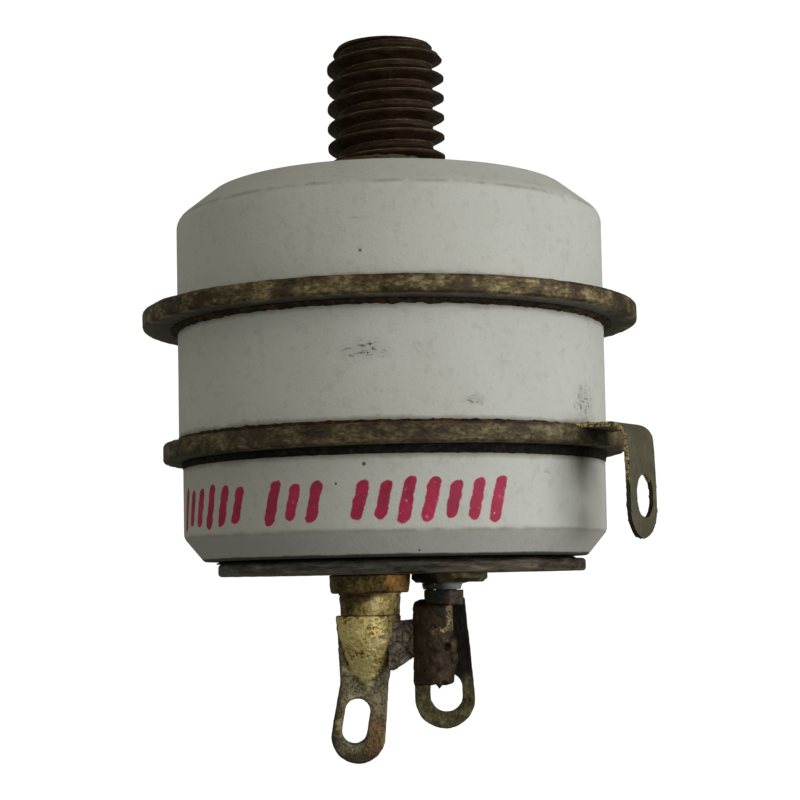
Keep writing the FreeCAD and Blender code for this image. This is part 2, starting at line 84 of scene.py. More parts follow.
# Light from the room, from straight below to straight above, and its colour.
ROOM = ((0.0, 0.08), (0.40, 0.16), (0.60, 0.21), (1.0, 0.20))
ROOM_COLOUR = (1.0, 0.995, 0.85)

# The lower ring sits slightly tilted, its right side higher: rise per millimetre along X.
RING_TILT = 0.0080

# Which way the cathode's solder lug points, from +X towards +Y, and how far it's off that line.
LUG_AZIMUTH = math.radians(-32.0)
LUG_SHIFT = -0.12
LUG_SHEET = 0.20

# The chamfers at the body's two ends, in millimetres inwards and along the axis.
HEAD_CHAMFER = (1.37, 1.08)
FOOT_CHAMFER = (0.78, 0.94)

# Height of the first heater terminal's collar, below the disc.
COLLAR_HEIGHT = 0.74


class Box:
    """A CAD node's box in millimetres: its lowest and highest corners, middle and half width."""

    def __init__(self, node):
        low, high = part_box(node)
        self.low = low / MM
        self.high = high / MM
        self.centre = (self.low + self.high) / 2
        self.radius = (self.high.x - self.low.x) / 2
        self.bottom = self.low.z
        self.top = self.high.z


# ---------------- mesh building


def clamped(value):
    return min(1.0, max(0.0, value))


def smoothstep(low, high, value):
    share = clamped((value - low) / (high - low))
    return share * share * (3 - 2 * share)


def wobble(point, size, seed=0.0):
    """Smooth noise from -1 to 1 whose lumps are about size millimetres across."""
    return noise.noise(point / size + Vector((seed, seed * 1.7, -seed)))


def peaks(point, size, seed, above=0.0):
    """How far wobble rises above a height, and 0 where it stays below."""
    return max(0.0, wobble(point, size, seed) - above)


def cracks(point, size, seed, half_width):
    """1 in the middle of thin winding lines, and 0 beside them."""
    return max(0.0, 1 - abs(wobble(point, size, seed)) / half_width)


def rough(point, size, seed=0.0, octaves=4):
    """Rougher noise with finer lumps inside the large ones."""
    return noise.fractal(point / size + Vector((seed, -seed, seed * 2.3)), 0.9, 2.1, octaves)


def rounded(corners, steps=5):
    """A closed outline of (a, b, corner radius) with its corners rounded by arcs."""
    points = []
    count = len(corners)
    for i, (a, b, radius) in enumerate(corners):
        here = Vector((a, b))
        if radius <= 0:
            points.append(here)
            continue
        before = (Vector(corners[i - 1][:2]) - here).normalized()
        after = (Vector(corners[(i + 1) % count][:2]) - here).normalized()
        half_angle = before.angle(after) / 2
        back = radius / math.tan(half_angle)
        centre = here + (before + after).normalized() * (radius / math.sin(half_angle))
        start = here + before * back - centre
        end = here + after * back - centre
        sweep = start.angle_signed(end)
        for j in range(steps + 1):
            turn = Matrix.Rotation(-sweep * j / steps, 2)
            points.append(centre + turn @ start)
    return points


def divided(outline, step):
    """The closed outline with extra points, so that no run is longer than step."""
    points = []
    count = len(outline)
    for i, here in enumerate(outline):
        after = outline[(i + 1) % count]
        parts = max(1, math.ceil((after - here).length / step))
        points += [here.lerp(after, j / parts) for j in range(parts)]
    return points


def skin(mesh, loops, ends_meet=True):
    """Faces from each loop of vertices to the next one, which has as many vertices."""
    count = len(loops[0])
    for loop, after in zip(loops, loops[1:]):
        for j in range(count if ends_meet else count - 1):
            k = (j + 1) % count
            mesh.faces.new((loop[j], after[j], after[k], loop[k]))


def revolve(outline, segments, centre=(0.0, 0.0), ends_meet=True):
    """An outline of (radius, z), turned about the Z axis through centre."""
    mesh = bmesh.new()
    loops = []
    for i in range(segments):
        c, s = math.cos(TURN * i / segments), math.sin(TURN * i / segments)
        loops.append([mesh.verts.new((centre[0] + p.x * c, centre[1] + p.x * s, p.y)) for p in outline])
    skin(mesh, loops + loops[:1], ends_meet)
    bmesh.ops.remove_doubles(mesh, verts=mesh.verts, dist=1e-5)
    bmesh.ops.dissolve_degenerate(mesh, edges=mesh.edges, dist=1e-6)
    bmesh.ops.recalc_face_normals(mesh, faces=mesh.faces)
    return mesh


def turned(corners, centre, segments, step, arc_steps=5):
    """A turned piece, from corners of (radius, z, corner radius)."""
    return revolve(divided(rounded(corners, arc_steps), step), segments, centre)


def disturb(mesh, amount):
    """Moves each vertex along its normal by amount(its place), in millimetres."""
    mesh.normal_update()
    moves = [(v, v.normal * amount(v.co)) for v in mesh.verts]
    for vert, move in moves:
        vert.co += move
    return mesh


def extruded(outline, holes, thickness, place):
    """A plate: outline and holes are lists of (a, b), and place(a, b, depth) gives each point."""
    mesh = bmesh.new()
    for depth in (0.0, thickness):
        edges = []
        for loop in [outline] + holes:
            verts = [mesh.verts.new(place(a, b, depth)) for a, b in loop]
            edges += [mesh.edges.new((verts[i - 1], verts[i])) for i in range(len(verts))]
        bmesh.ops.triangle_fill(mesh, use_beauty=True, edges=edges)
    mesh.verts.ensure_lookup_table()
    per_side = len(mesh.verts) // 2
    start = 0
    for loop in [outline] + holes:
        for i in range(len(loop)):
            a = start + i
            b = start + (i + 1) % len(loop)
            mesh.faces.new([mesh.verts[k] for k in (a, b, b + per_side, a + per_side)])
        start += len(loop)
    bmesh.ops.recalc_face_normals(mesh, faces=mesh.faces)
    return mesh


def upright(outline, holes, thickness, y):
    """A plate that faces the camera, its front at y."""
    return extruded(outline, holes, thickness, lambda a, b, depth: (a, y + depth, b))


def arc_points(centre, radius, start, end, steps=24):
    """Points on an arc, with its angles in degrees from the first axis."""
    angles = [math.radians(start + (end - start) * i / steps) for i in range(steps + 1)]
    return [(centre[0] + radius * math.cos(t), centre[1] + radius * math.sin(t)) for t in angles]


def stadium(width, length, tilt, centre):
    """An oval hole, its long way up, turned clockwise by tilt degrees."""
    radius = width / 2
    half = length / 2 - radius
    points = arc_points((0, half), radius, 0, 180) + arc_points((0, -half), radius, 180, 360)
    c, s = math.cos(math.radians(tilt)), math.sin(math.radians(tilt))
    return [(centre[0] + a * c + b * s, centre[1] - a * s + b * c) for a, b in points]


def new_object(name, data):
    thing = bpy.data.objects.new(name, data)
    bpy.context.scene.collection.objects.link(thing)
    return thing


def mesh_object(name, mesh):
    """An object made of the bmesh, which is used up."""
    data = bpy.data.meshes.new(name)
    mesh.to_mesh(data)
    mesh.free()
    return new_object(name, data)


def melted(parts, voxel, smoothing=2):
    """Overlapping closed parts grown together into one skin, as soft metal or solder."""
    whole = bmesh.new()
    for part in parts:
        data = bpy.data.meshes.new("part")
        part.to_mesh(data)
        part.free()
        whole.from_mesh(data)
        bpy.data.meshes.remove(data)
    carrier = mesh_object("melted", whole)
    remesh = carrier.modifiers.new("skin", "REMESH")
    remesh.mode = "VOXEL"
    remesh.voxel_size = voxel
    relax = carrier.modifiers.new("relax", "SMOOTH")
    relax.factor = 0.5
    relax.iterations = smoothing
    graph = bpy.context.evaluated_depsgraph_get()
    result = bmesh.new()
    result.from_object(carrier, graph)
    data = carrier.data
    bpy.data.objects.remove(carrier)
    bpy.data.meshes.remove(data)
    return result


def smooth_at_edges(data, angle):
    data.shade_smooth()
    data.set_sharp_from_angle(angle=math.radians(angle))


def piece(name, mesh, material, node, sharp=50.0):
    """Turns a bmesh in millimetres into a shown piece that stands for the CAD node."""
    mesh.transform(Matrix.Scale(MM, 4))
    shown = mesh_object(name, mesh)
    smooth_at_edges(shown.data, sharp)
    shown.data.materials.append(material)
    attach(shown, "root")
    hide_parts(node)


# ---------------- materials


def fill_ramp(ramp, stops):
    """stops are (place, (r, g, b)), from low to high."""
    while len(ramp.elements) < len(stops):
        ramp.elements.new(0.5)
    for element, (place, colour) in zip(ramp.elements, stops):
        element.position = place
        element.color = (*colour, 1)


class Shade:
    """A node tree under construction, with coordinates in millimetres."""

    def __init__(self, name):
        self.material = bpy.data.materials.new(name)
        self.material.use_nodes = True
        self.nodes = self.material.node_tree.nodes
        self.links = self.material.node_tree.links
        self.shader = self.nodes["Principled BSDF"]
        metres = self.add("TexCoord", {}).outputs["Object"]
        self.place = self.add("VectorMath", {0: metres, "Scale": 1 / MM}, operation="SCALE").outputs[0]
        self.x, self.y, self.z = self.add("SeparateXYZ", {0: self.place}).outputs

    def join(self, source, target):
        """Links an output to an input, or sets the input to a number, a vector or a colour."""
        if hasattr(source, "default_value"):
            self.links.new(source, target)
        elif target.type == "RGBA":
            target.default_value = (*source, 1)
        else:
            target.default_value = source

    def add(self, kind, values, **settings):
        """A new node, with values joined to its inputs."""
        node = self.nodes.new("ShaderNode" + kind)
        for name, value in settings.items():
            setattr(node, name, value)
        for key, value in values.items():
            self.join(value, node.inputs[key])
        return node

    def noise(self, size, detail=4.0, roughness=0.55, stretch=(1, 1, 1)):
        place = self.place
        if stretch != (1, 1, 1):
            place = self.add("VectorMath", {0: place, 1: stretch}, operation="DIVIDE").outputs[0]
        values = {"Vector": place, "Scale": 1 / size, "Detail": detail, "Roughness": roughness}
        return self.add("TexNoise", values).outputs["Fac"]

    def patina(self, size, fine_size, fine_roughness, shares, stretch=(1, 1, 1)):
        """Wide mottling, fine mottling, and the sum of both by their shares."""
        wide = self.noise(size, 5.0, 0.62, stretch)
        fine = self.noise(fine_size, 5.0, fine_roughness, stretch)
        return wide, fine, self.line(fine, shares[1], self.times(wide, shares[0]))

    def cells(self, size):
        return self.add("TexVoronoi", {"Vector": self.place, "Scale": 1 / size}).outputs["Distance"]

    def attribute(self, name):
        return self.add("Attribute", {}, attribute_name=name).outputs["Fac"]

    def math(self, operation, a, b=0.0, c=0.0, clamp=False):
        return self.add("Math", {0: a, 1: b, 2: c}, operation=operation, use_clamp=clamp).outputs[0]

    def times(self, a, b, clamp=False):
        return self.math("MULTIPLY", a, b, clamp=clamp)

    def plus(self, a, b):
        return self.math("ADD", a, b)

    def minus(self, a, b, clamp=False):
        return self.math("SUBTRACT", a, b, clamp=clamp)

    def line(self, a, slope, start):
        """a times slope, plus start."""
        return self.math("MULTIPLY_ADD", a, slope, start)

    def over(self, a, b):
        return self.math("DIVIDE", a, b)

    def off(self, a, b):
        """How far a is from b."""
        return self.math("ABSOLUTE", self.minus(a, b))

    def most(self, a, b):
        return self.math("MAXIMUM", a, b)

    def distance(self, a, b):
        return self.math("SQRT", self.plus(self.times(a, a), self.times(b, b)))

    def between(self, value, low, high):
        """0 below low and 1 above high, with a smooth step between."""
        values = {"Value": value, "From Min": low, "From Max": high}
        return self.add("MapRange", values, interpolation_type="SMOOTHSTEP").outputs["Result"]

    def scaled(self, value, low, high):
        return self.add("MapRange", {"Value": value, "To Min": low, "To Max": high}).outputs["Result"]

    def ramp(self, value, *stops):
        node = self.add("ValToRGB", {"Fac": value})
        fill_ramp(node.color_ramp, stops)
        return node.outputs["Color"]

    def mix(self, share, first, second):
        values = {"Factor": share, "A": first, "B": second}
        return self.add("Mix", values, data_type="RGBA").outputs["Result"]

    def tint(self, colour, share, strength, other):
        """The colour, mixed towards the other by share times strength."""
        return self.mix(self.times(share, strength), colour, other)

    def bump(self, *layers):
        """layers are (height, depth in millimetres)."""
        below = {}
        for height, depth in layers:
            node = self.add("Bump", {"Distance": depth * MM, "Height": height, **below})
            below = {"Normal": node.outputs["Normal"]}
        self.links.new(below["Normal"], self.shader.inputs["Normal"])

    def finish(self, colour, metallic, roughness, specular=0.5):
        values = {"Base Color": colour, "Metallic": metallic, "Roughness": roughness,
                  "Specular IOR Level": specular}
        for name, value in values.items():
            self.join(value, self.shader.inputs[name])
        return self.material


def ceramic(name, node, stain_low, stain_high):
    """Warm grey-white unglazed alumina: fine grain, faint clouds, a few specks and handling marks.
    The stains are tarnish carried from the joints onto the ceramic's two ends."""
    s = Shade(name)
    span = Box(node)
    clouds = s.noise(4.0, 3.0, 0.5)
    grain = s.noise(0.16, 3.0, 0.6)
    body = s.ramp(clouds, (0.3, (0.71, 0.71, 0.655)), (0.7, (0.79, 0.79, 0.745)))
    body = s.mix(s.scaled(grain, 0.0, 0.22), body, (0.54, 0.54, 0.49))
    # Coarser mottling, darker in small patches.
    mottle = s.noise(0.45, 5.0, 0.7)
    body = s.tint(body, s.between(mottle, 0.52, 0.66), 0.22, (0.42, 0.41, 0.37))
    pores = s.noise(0.09, 2.0, 0.5)
    body = s.tint(body, s.between(pores, 0.6, 0.72), 0.16, (0.34, 0.33, 0.3))
    reach = s.scaled(s.noise(0.9, 4.0, 0.6), 0.05, 0.42)
    for stain, away in ((stain_low, s.minus(s.z, span.bottom)), (stain_high, s.minus(span.top, s.z))):
        near = s.minus(1.0, s.over(away, reach), clamp=True)
        body = s.tint(body, near, stain, (0.23, 0.19, 0.12))
    # Faint grey rubs and scattered dark specks.
    rubs = s.noise(1.7, 5.0, 0.62, stretch=(1.0, 1.0, 0.35))
    body = s.tint(body, s.between(rubs, 0.66, 0.76), 0.3, (0.25, 0.24, 0.22))
    patches = s.noise(2.5, 2.0)
    dark = s.times(s.between(s.cells(1.15), 0.06, 0.035), s.between(patches, 0.56, 0.66))
    body = s.tint(body, dark, 0.45, (0.1, 0.095, 0.09))
    s.bump((grain, 0.016), (mottle, 0.016))
    return s, body


def on_front(s, x, z, half_wide, half_high, inside):
    """An oval on the front: 0 at its edge and beyond, and 1 from a share of the way to its middle."""
    along = s.over(s.minus(s.x, x), half_wide)
    above = s.over(s.minus(s.z, z), half_high)
    return s.times(s.between(s.distance(along, above), 1.0, inside), s.between(s.y, 0.0, -1.0))


def spotted(s, body, spots):
    """Single dark spots: each is (x, z, radius)."""
    for x, z, radius in spots:
        body = s.tint(body, on_front(s, x, z, radius, radius, 0.5), 0.85, (0.03, 0.028, 0.025))
    return body


def smudged(s, body, smudges):
    """Broken dark rubs: each is (x, z, half width, half height)."""
    strokes = s.between(s.noise(0.2, 5.0, 0.7, stretch=(1.8, 1.0, 0.6)), 0.54, 0.6)
    for smudge in smudges:
        rub = on_front(s, *smudge, 0.2)
        share = s.most(s.times(rub, 0.13), s.times(s.times(rub, strokes), 0.85))
        body = s.mix(share, body, (0.1, 0.095, 0.085))
    return body


def edge_line(s, body, z):
    """A thin brownish line round the ceramic, broken by wear."""
    off = s.off(s.z, s.line(s.noise(1.2, 3.0), 0.1, z - 0.05))
    line = s.times(s.between(off, 0.13, 0.0), s.between(s.noise(0.8, 4.0), 0.28, 0.6))
    return s.tint(body, line, 0.45, (0.27, 0.22, 0.15))


def ceramic_plain(name, node, stain_low, stain_high, spots, smudges=()):
    s, body = ceramic(name, node, stain_low, stain_high)
    if node == "upper_ceramic":
        body = edge_line(s, body, Box(node).top - HEAD_CHAMFER[1])
    body = smudged(s, body, smudges)
    return s.finish(spotted(s, body, spots), 0.0, 0.62, 0.35)


def old_metal(name, base, dark, light, size, rust=None, metallic=0.85, rough_low=0.34, rough_high=0.62,
              light_share=0.55, stretch=(1, 1, 1), under=None, specular=0.5, bared=None):
    """Aged metal: mottled patina from dark to base to bare light metal, pitted. The optional colours
    are rust in spots, bared metal where wear is marked, and painted shade on the faces marked as under."""
    s = Shade(name)
    pits = 0.03
    wide, fine, both = s.patina(size, size * 0.22, 0.65, (0.62, 0.45), stretch)
    colour = s.ramp(both, (0.4, dark), (0.52, base), (light_share + 0.1, light))
    if rust:
        spots = s.noise(size * 1.6, 5.0, 0.6, stretch)
        colour = s.tint(colour, s.between(spots, 0.52, 0.64), 0.85, rust)
    if bared:
        wear_and_highlight = s.times(s.attribute("wear"), s.scaled(fine, 0.2, 1.1), clamp=True)
        colour = s.mix(wear_and_highlight, colour, bared)
    # Painted shade: the faces marked as under are darkened towards the under colour.
    if under:
        grime_and_shade = s.times(s.attribute("under"), s.scaled(wide, 0.6, 1.1), clamp=True)
        colour = s.mix(grime_and_shade, colour, under)
    roughness = s.scaled(s.noise(size * 0.5, 4.0), rough_high, rough_low)
    s.bump((fine, pits), (s.noise(0.08, 3.0, 0.6), pits * 0.35))
    return s.finish(colour, metallic, roughness, specular)


def plain_metal(name, colour, roughness):
    """For the pieces inside the envelope: clean drawn or turned metal with faint marks."""
    s = Shade(name)
    marks = s.noise(0.6, 4.0, 0.6, stretch=(1.0, 1.0, 4.0))
    darker = tuple(0.72 * c for c in colour)
    s.bump((marks, 0.004))
    colour = s.ramp(marks, (0.35, darker), (0.65, colour))
    return s.finish(colour, 0.9, s.scaled(marks, roughness, roughness + 0.15))


def coated(name, colour):
    """Sprayed white oxide on the cathode's cap and the heater."""
    s = Shade(name)
    grain = s.noise(0.05, 3.0, 0.7)
    s.bump((grain, 0.01))
    darker = tuple(0.85 * c for c in colour)
    return s.finish(s.ramp(grain, (0.35, darker), (0.65, colour)), 0.0, 0.9)


def bead_glass():
    """Grey-green sealing glass, with painted shade on its left side."""
    s = Shade("bead_glass_old")
    clouds = s.noise(0.5, 3.0)
    s.bump((clouds, 0.01))
    pin_x = Box("heater_pin_b").centre.x
    # Painted shade: the left side, away from the window, is nearly black.
    side = s.between(s.x, pin_x - 0.35, pin_x + 0.35)
    glass = s.ramp(clouds, (0.35, (0.1, 0.12, 0.11)), (0.7, (0.42, 0.47, 0.43)))
    return s.finish(s.mix(side, (0.018, 0.021, 0.018), glass), 0.0, 0.12, 0.8)


def inked_ceramic(name, node, spots):
    """The lower ceramic, with a band of plain slanted ink bars round its front left."""
    span = Box(node)
    s, body = ceramic(name, node, 0.0, 0.9)
    # Distance round the body from its front, in millimetres.
    angle = s.math("ARCTAN2", s.minus(s.x, span.centre.x), s.times(s.y, -1.0))
    around = s.times(angle, span.radius)
    sway = s.line(s.noise(0.35, 3.0), 0.2, -0.1)
    band_share = 0.545
    ink_middle = span.bottom + band_share * (span.top - span.bottom)
    off_band = s.off(s.plus(s.z, sway), ink_middle)
    leaning = s.times(s.minus(s.z, ink_middle), -0.22)
    slant = s.plus(s.plus(around, leaning), sway)
    # Each bar is a slanted stroke with round ends, and whole bars are kept or left out.
    pitch = 0.84
    half_stroke = 0.25
    half_length = 0.53
    turn = s.over(slant, pitch)
    off_bar = s.times(s.off(s.math("FRACT", turn), 0.5), pitch)
    bar_place = s.times(s.plus(s.math("FLOOR", turn), 0.5), pitch)
    uneven = s.math("SINE", s.times(bar_place, 5.3))
    past_end = s.most(s.minus(off_band, s.line(uneven, 0.09, half_length)), 0.0)
    stroke = s.between(s.distance(off_bar, past_end), half_stroke, half_stroke - 0.05)
    shown = 0.0
    for start, end in ((-10.9, -6.2), (-4.9, -2.6), (-1.6, 4.1)):
        group = s.times(s.between(bar_place, start, start + 0.01), s.between(bar_place, end, end - 0.01))
        shown = s.most(shown, group)
    shown = s.times(stroke, shown)
    wear_and_highlight = s.noise(0.22, 5.0, 0.7)
    worn_wide = s.noise(0.9, 3.0, 0.6)
    kept = s.times(s.between(wear_and_highlight, 0.24, 0.38), s.between(worn_wide, 0.22, 0.34))
    ink = s.ramp(worn_wide, (0.35, (0.6, 0.01, 0.095)), (0.65, (0.38, 0.006, 0.05)))
    edge = span.bottom + FOOT_CHAMFER[1]
    body = s.tint(body, s.between(s.z, edge + 0.04, edge - 0.08), 0.38, (0.4, 0.365, 0.335))
    body = edge_line(s, body, edge - 0.02)
    # Painted shade on the left, and a painted shadow on the right that carries the lug's shadow out to the
    # edge.
    body = s.tint(body, s.between(s.x, 4.0, -6.0), 0.3, (0.36, 0.345, 0.315))
    body = s.tint(body, s.between(s.x, 6.3, 7.4), 0.38, (0.34, 0.33, 0.31))
    # Black grime on the end face and just round its corner.
    foot = s.minus(s.z, s.scaled(worn_wide, 0.0, 0.1))
    grime_and_shade = s.between(foot, span.bottom + 0.09, span.bottom + 0.02)
    body = s.tint(body, grime_and_shade, 0.9, (0.022, 0.021, 0.02))
    body = s.tint(body, s.times(shown, kept), 0.97, ink)
    return s.finish(spotted(s, body, spots), 0.0, 0.6, 0.3)


# ---------------- the pieces


def make_ceramics(materials):
    """The three sections of the body. Both ends have a chamfer, with a soft line where it starts."""
    body_bore = 5.5
    end_bore = 2.45
    end_wall = 1.8
    soft = 0.06
    for node in ("upper_ceramic", "middle_ceramic", "lower_ceramic"):
        span = Box(node)
        radius, bottom, top = span.radius, span.bottom, span.top
        foot = [(radius, bottom, soft)]
        head = [(radius, top, soft), (body_bore, top, soft)]
        if node == "lower_ceramic":
            foot = [(radius - FOOT_CHAMFER[0], bottom, 0.2), (radius, bottom + FOOT_CHAMFER[1], 0.45)]
        if node == "upper_ceramic":
            head = [(radius, top - HEAD_CHAMFER[1], 0.55), (radius - HEAD_CHAMFER[0], top, 0.12),
                    (end_bore, top, soft), (end_bore, top - end_wall, soft),
                    (body_bore, top - end_wall, soft)]
        mesh = turned([(body_bore, bottom, soft)] + foot + head, span.centre, segments=256, step=0.22)
        disturb(mesh, lambda p: 0.006 * rough(p, 3.0, 2.0))
        piece(node + "_body", mesh, materials[node], node, sharp=60)


def make_stud(material):
    """The thread by its formula: one crest for each pitch, rising counter-clockwise."""
    span = Box("anode_stud")
    pitch = 0.794
    major = 2.33
    depth = 0.45
    crest_half = 1 / 16
    root_half = 1 / 8
    crest_azimuth = math.radians(22.0)
    chamfer_high = 0.6
    chamfer_in = 0.42
    shank_top = -0.02
    nick_height = 0.37
    around = 260
    rows = 240
    top = span.top

    def thread(angle, z):
        """The radius, and how far the place lies on a worn edge."""
        phase = (z / pitch - (angle - crest_azimuth) / TURN + 0.5) % 1.0 - 0.5
        flank = clamped((abs(phase) - crest_half) / (0.5 - root_half - crest_half))
        r = major - depth * (0.86 * flank + 0.14 * smoothstep(0, 1, flank))
        limit = major - chamfer_in * max(0.0, (z - (top - chamfer_high)) / chamfer_high)
        near_crest = max(0.0, 1 - abs(phase - crest_half) / 0.022)
        near_root = max(0.0, 1 - abs(phase + 0.5 - root_half) / 0.02)
        return min(r, limit), max(near_crest, 0.7 * near_root)

    def aged(angle, z):
        r, wear = thread(angle, z)
        place = Vector((r * math.cos(angle), r * math.sin(angle), z))
        wear *= smoothstep(-0.25, 0.45, wobble(place, 0.7, 5.0)) * 0.8 + 0.5
        if abs(z - nick_height - 0.03 * wobble(place, 0.3, 7.0)) < 0.035:
            wear = 1.3
        return r + 0.012 * rough(place, 0.35, 4.0) - 0.02 * peaks(place, 0.5, 9.0, 0.35), wear

    mesh = bmesh.new()
    layer = mesh.verts.layers.float.new("wear")
    loops = []
    for z in [span.bottom, shank_top] + [top * i / rows for i in range(rows + 1)]:
        loop = []
        for i in range(around):
            angle = TURN * i / around
            r, wear = aged(angle, z) if z >= 0 else (major, 0.0)
            vert = mesh.verts.new((r * math.cos(angle), r * math.sin(angle), z))
            vert[layer] = wear
            loop.append(vert)
        loops.append(loop)
    for share in (0.93, 0.55):
        loops.append([mesh.verts.new((v.co.x * share, v.co.y * share, top)) for v in loops[rows + 2]])
    skin(mesh, loops)
    mesh.faces.new(loops[0])
    mesh.faces.new(loops[-1])
    bmesh.ops.recalc_face_normals(mesh, faces=mesh.faces)
    piece("anode_stud_thread", mesh, material, "anode_stud", sharp=28)


def tilt(mesh):
    for v in mesh.verts:
        v.co.z += RING_TILT * v.co.x


def rebate(mesh, z_top):
    """Lowers the lower ring's top where the solder lug's sheet is let in. The rebate narrows outwards."""
    inner_r = 8.48
    root = 8.2
    root_half = 1.62
    narrowing = 0.2
    for v in mesh.verts:
        out = v.co.x * math.cos(LUG_AZIMUTH) + v.co.y * math.sin(LUG_AZIMUTH)
        across = v.co.y * math.cos(LUG_AZIMUTH) - v.co.x * math.sin(LUG_AZIMUTH)
        half = root_half - narrowing * max(0.0, out - root)
        if out > 8.0 and abs(across - LUG_SHIFT) < half and v.co.xy.length > inner_r:
            v.co.z = min(v.co.z, z_top - LUG_SHEET + 0.01)


def make_metal_rings(materials):
    """The two contact rings: flat washers with rounded, knocked and slightly wavy rims."""
    for node, bore, seed, name, look in (("grid_flange", 4.0, 11.0, "grid_flange_ring", "ring"),
                                         ("cathode_ring", 3.7, 23.0, "cathode_ring_body", "ring_low")):
        span = Box(node)
        radius, bottom, top = span.radius, span.bottom, span.top
        corners = [(bore, bottom, 0.03), (radius, bottom, 0.15), (radius, top, 0.15), (bore, top, 0.03)]
        mesh = turned(corners, span.centre, segments=360, step=0.16)

        def knocks(p):
            rim = smoothstep(radius - 1.2, radius - 0.1, p.xy.length)
            return rim * (0.018 * rough(p, 0.7, seed) - 0.05 * peaks(p, 0.8, seed + 3, 0.3) - 0.012)

        disturb(mesh, knocks)
        # Painted shade: the downward faces near the body are marked as under, and the ring material
        # darkens them.
        under = mesh.verts.layers.float.new("under")
        mesh.normal_update()
        for v in mesh.verts:
            near_body = smoothstep(radius + 0.1, radius - 0.9, v.co.xy.length)
            v[under] = smoothstep(0.2, 0.8, -v.normal.z) * near_body
        if node == "cathode_ring":
            rebate(mesh, top)
            tilt(mesh)
        piece(name, mesh, materials[look], node)


def follow_ring(mesh, z_low, z_high, ring_below):
    """Lets a joint's face on the tilted ring follow the ring, and keeps its other face level."""
    for v in mesh.verts:
        share = (v.co.z - z_low) / (z_high - z_low)
        v.co.z += RING_TILT * v.co.x * clamped(1 - share if ring_below else share)


def make_brazes(materials):
    """Braze and grime in the joints: a thin ragged line, with a lump here and there."""
    inner = 5.6
    joints = (
        # node, look, extra reach out, extra height down, extra height up, raggedness, lumps
        ("grid_braze_upper", "dark_braze", 0.05, 0.03, 0.05, 0.035, 0.05),
        ("grid_braze_lower", "dark_braze", 0.36, 0.06, 0.0, 0.045, 0.06),
        ("cathode_braze_upper", "dark_braze", 0.06, 0.03, 0.06, 0.045, 0.22),
        ("cathode_braze_lower", "black_braze", 0.08, 0.02, 0.0, 0.035, 0.03),
        ("heater_braze", "black_braze", 0.38, 0.0, 0.0, 0.02, 0.02),
    )
    for seed, (node, look, out, below, above, ragged, lumps) in enumerate(joints):
        span = Box(node)
        radius, bottom, top = span.radius, span.bottom, span.top
        # A joint spreads along the ring that it touches: the one above it, or the one below it.
        if node in ("grid_braze_lower", "cathode_braze_lower"):
            foot = (radius + out * 0.15, bottom - below, 0.02)
            head = (radius + out, top, 0.02)
        else:
            foot = (radius + out, bottom - below * 0.3, 0.02)
            head = (radius + out * 0.25, top + above, 0.02)
        corners = [(inner, bottom, 0), foot, head, (inner, top, 0)]
        mesh = turned(corners, span.centre, segments=480, step=0.07, arc_steps=3)

        def crust(p):
            rim = smoothstep(radius - 0.6, radius - 0.05, p.xy.length)
            lump = lumps * smoothstep(0.38, 0.75, wobble(p, 0.55, seed + 31.0))
            return rim * (ragged * rough(p, 0.22, seed + 40.0) + lump - 0.2 * ragged)

        disturb(mesh, crust)
        if node.startswith("cathode"):
            follow_ring(mesh, bottom, top, node == "cathode_braze_upper")
        piece(node + "_crust", mesh, materials[look], node)


def make_disc(material):
    span = Box("heater_disc")
    radius, bottom, top = span.radius, span.bottom, span.top
    corners = [(0.0, bottom, 0), (radius, bottom, 0.12), (radius, top, 0.15), (0.0, top, 0)]
    mesh = turned(corners, span.centre, segments=300, step=0.16)

    def uneven(p):
        rim = smoothstep(radius - 0.8, radius, math.hypot(p.x - span.centre.x, p.y))
        return 0.012 * rim * rough(p, 0.5, 61.0)

    disturb(mesh, uneven)
    piece("heater_disc_plate", mesh, material, "heater_disc", sharp=40)


def sheet_bend(reach, bend_r, sheet, z_top, start, splay):
    """Takes a distance along the lug's outer face, and a depth into the sheet, to (how far out, z)."""
    outer = bend_r + sheet
    flat = reach - outer - start
    turn_all = math.pi / 2 - splay
    curve = outer * turn_all

    def at(s, depth):
        if s < flat:
            return start + s, z_top - depth
        r = outer - depth
        turn = min(s - flat, curve) / outer
        out = start + flat + r * math.sin(turn)
        z = z_top - outer + r * math.cos(turn)
        beyond = max(0.0, s - flat - curve)
        return out + beyond * math.sin(splay), z - beyond * math.cos(splay)

    return at, flat, curve


def closed_divided(loop, step):
    """The closed list of (a, b) with extra points, none further apart than step."""
    return [tuple(p) for p in divided([Vector(p) for p in loop], step)]


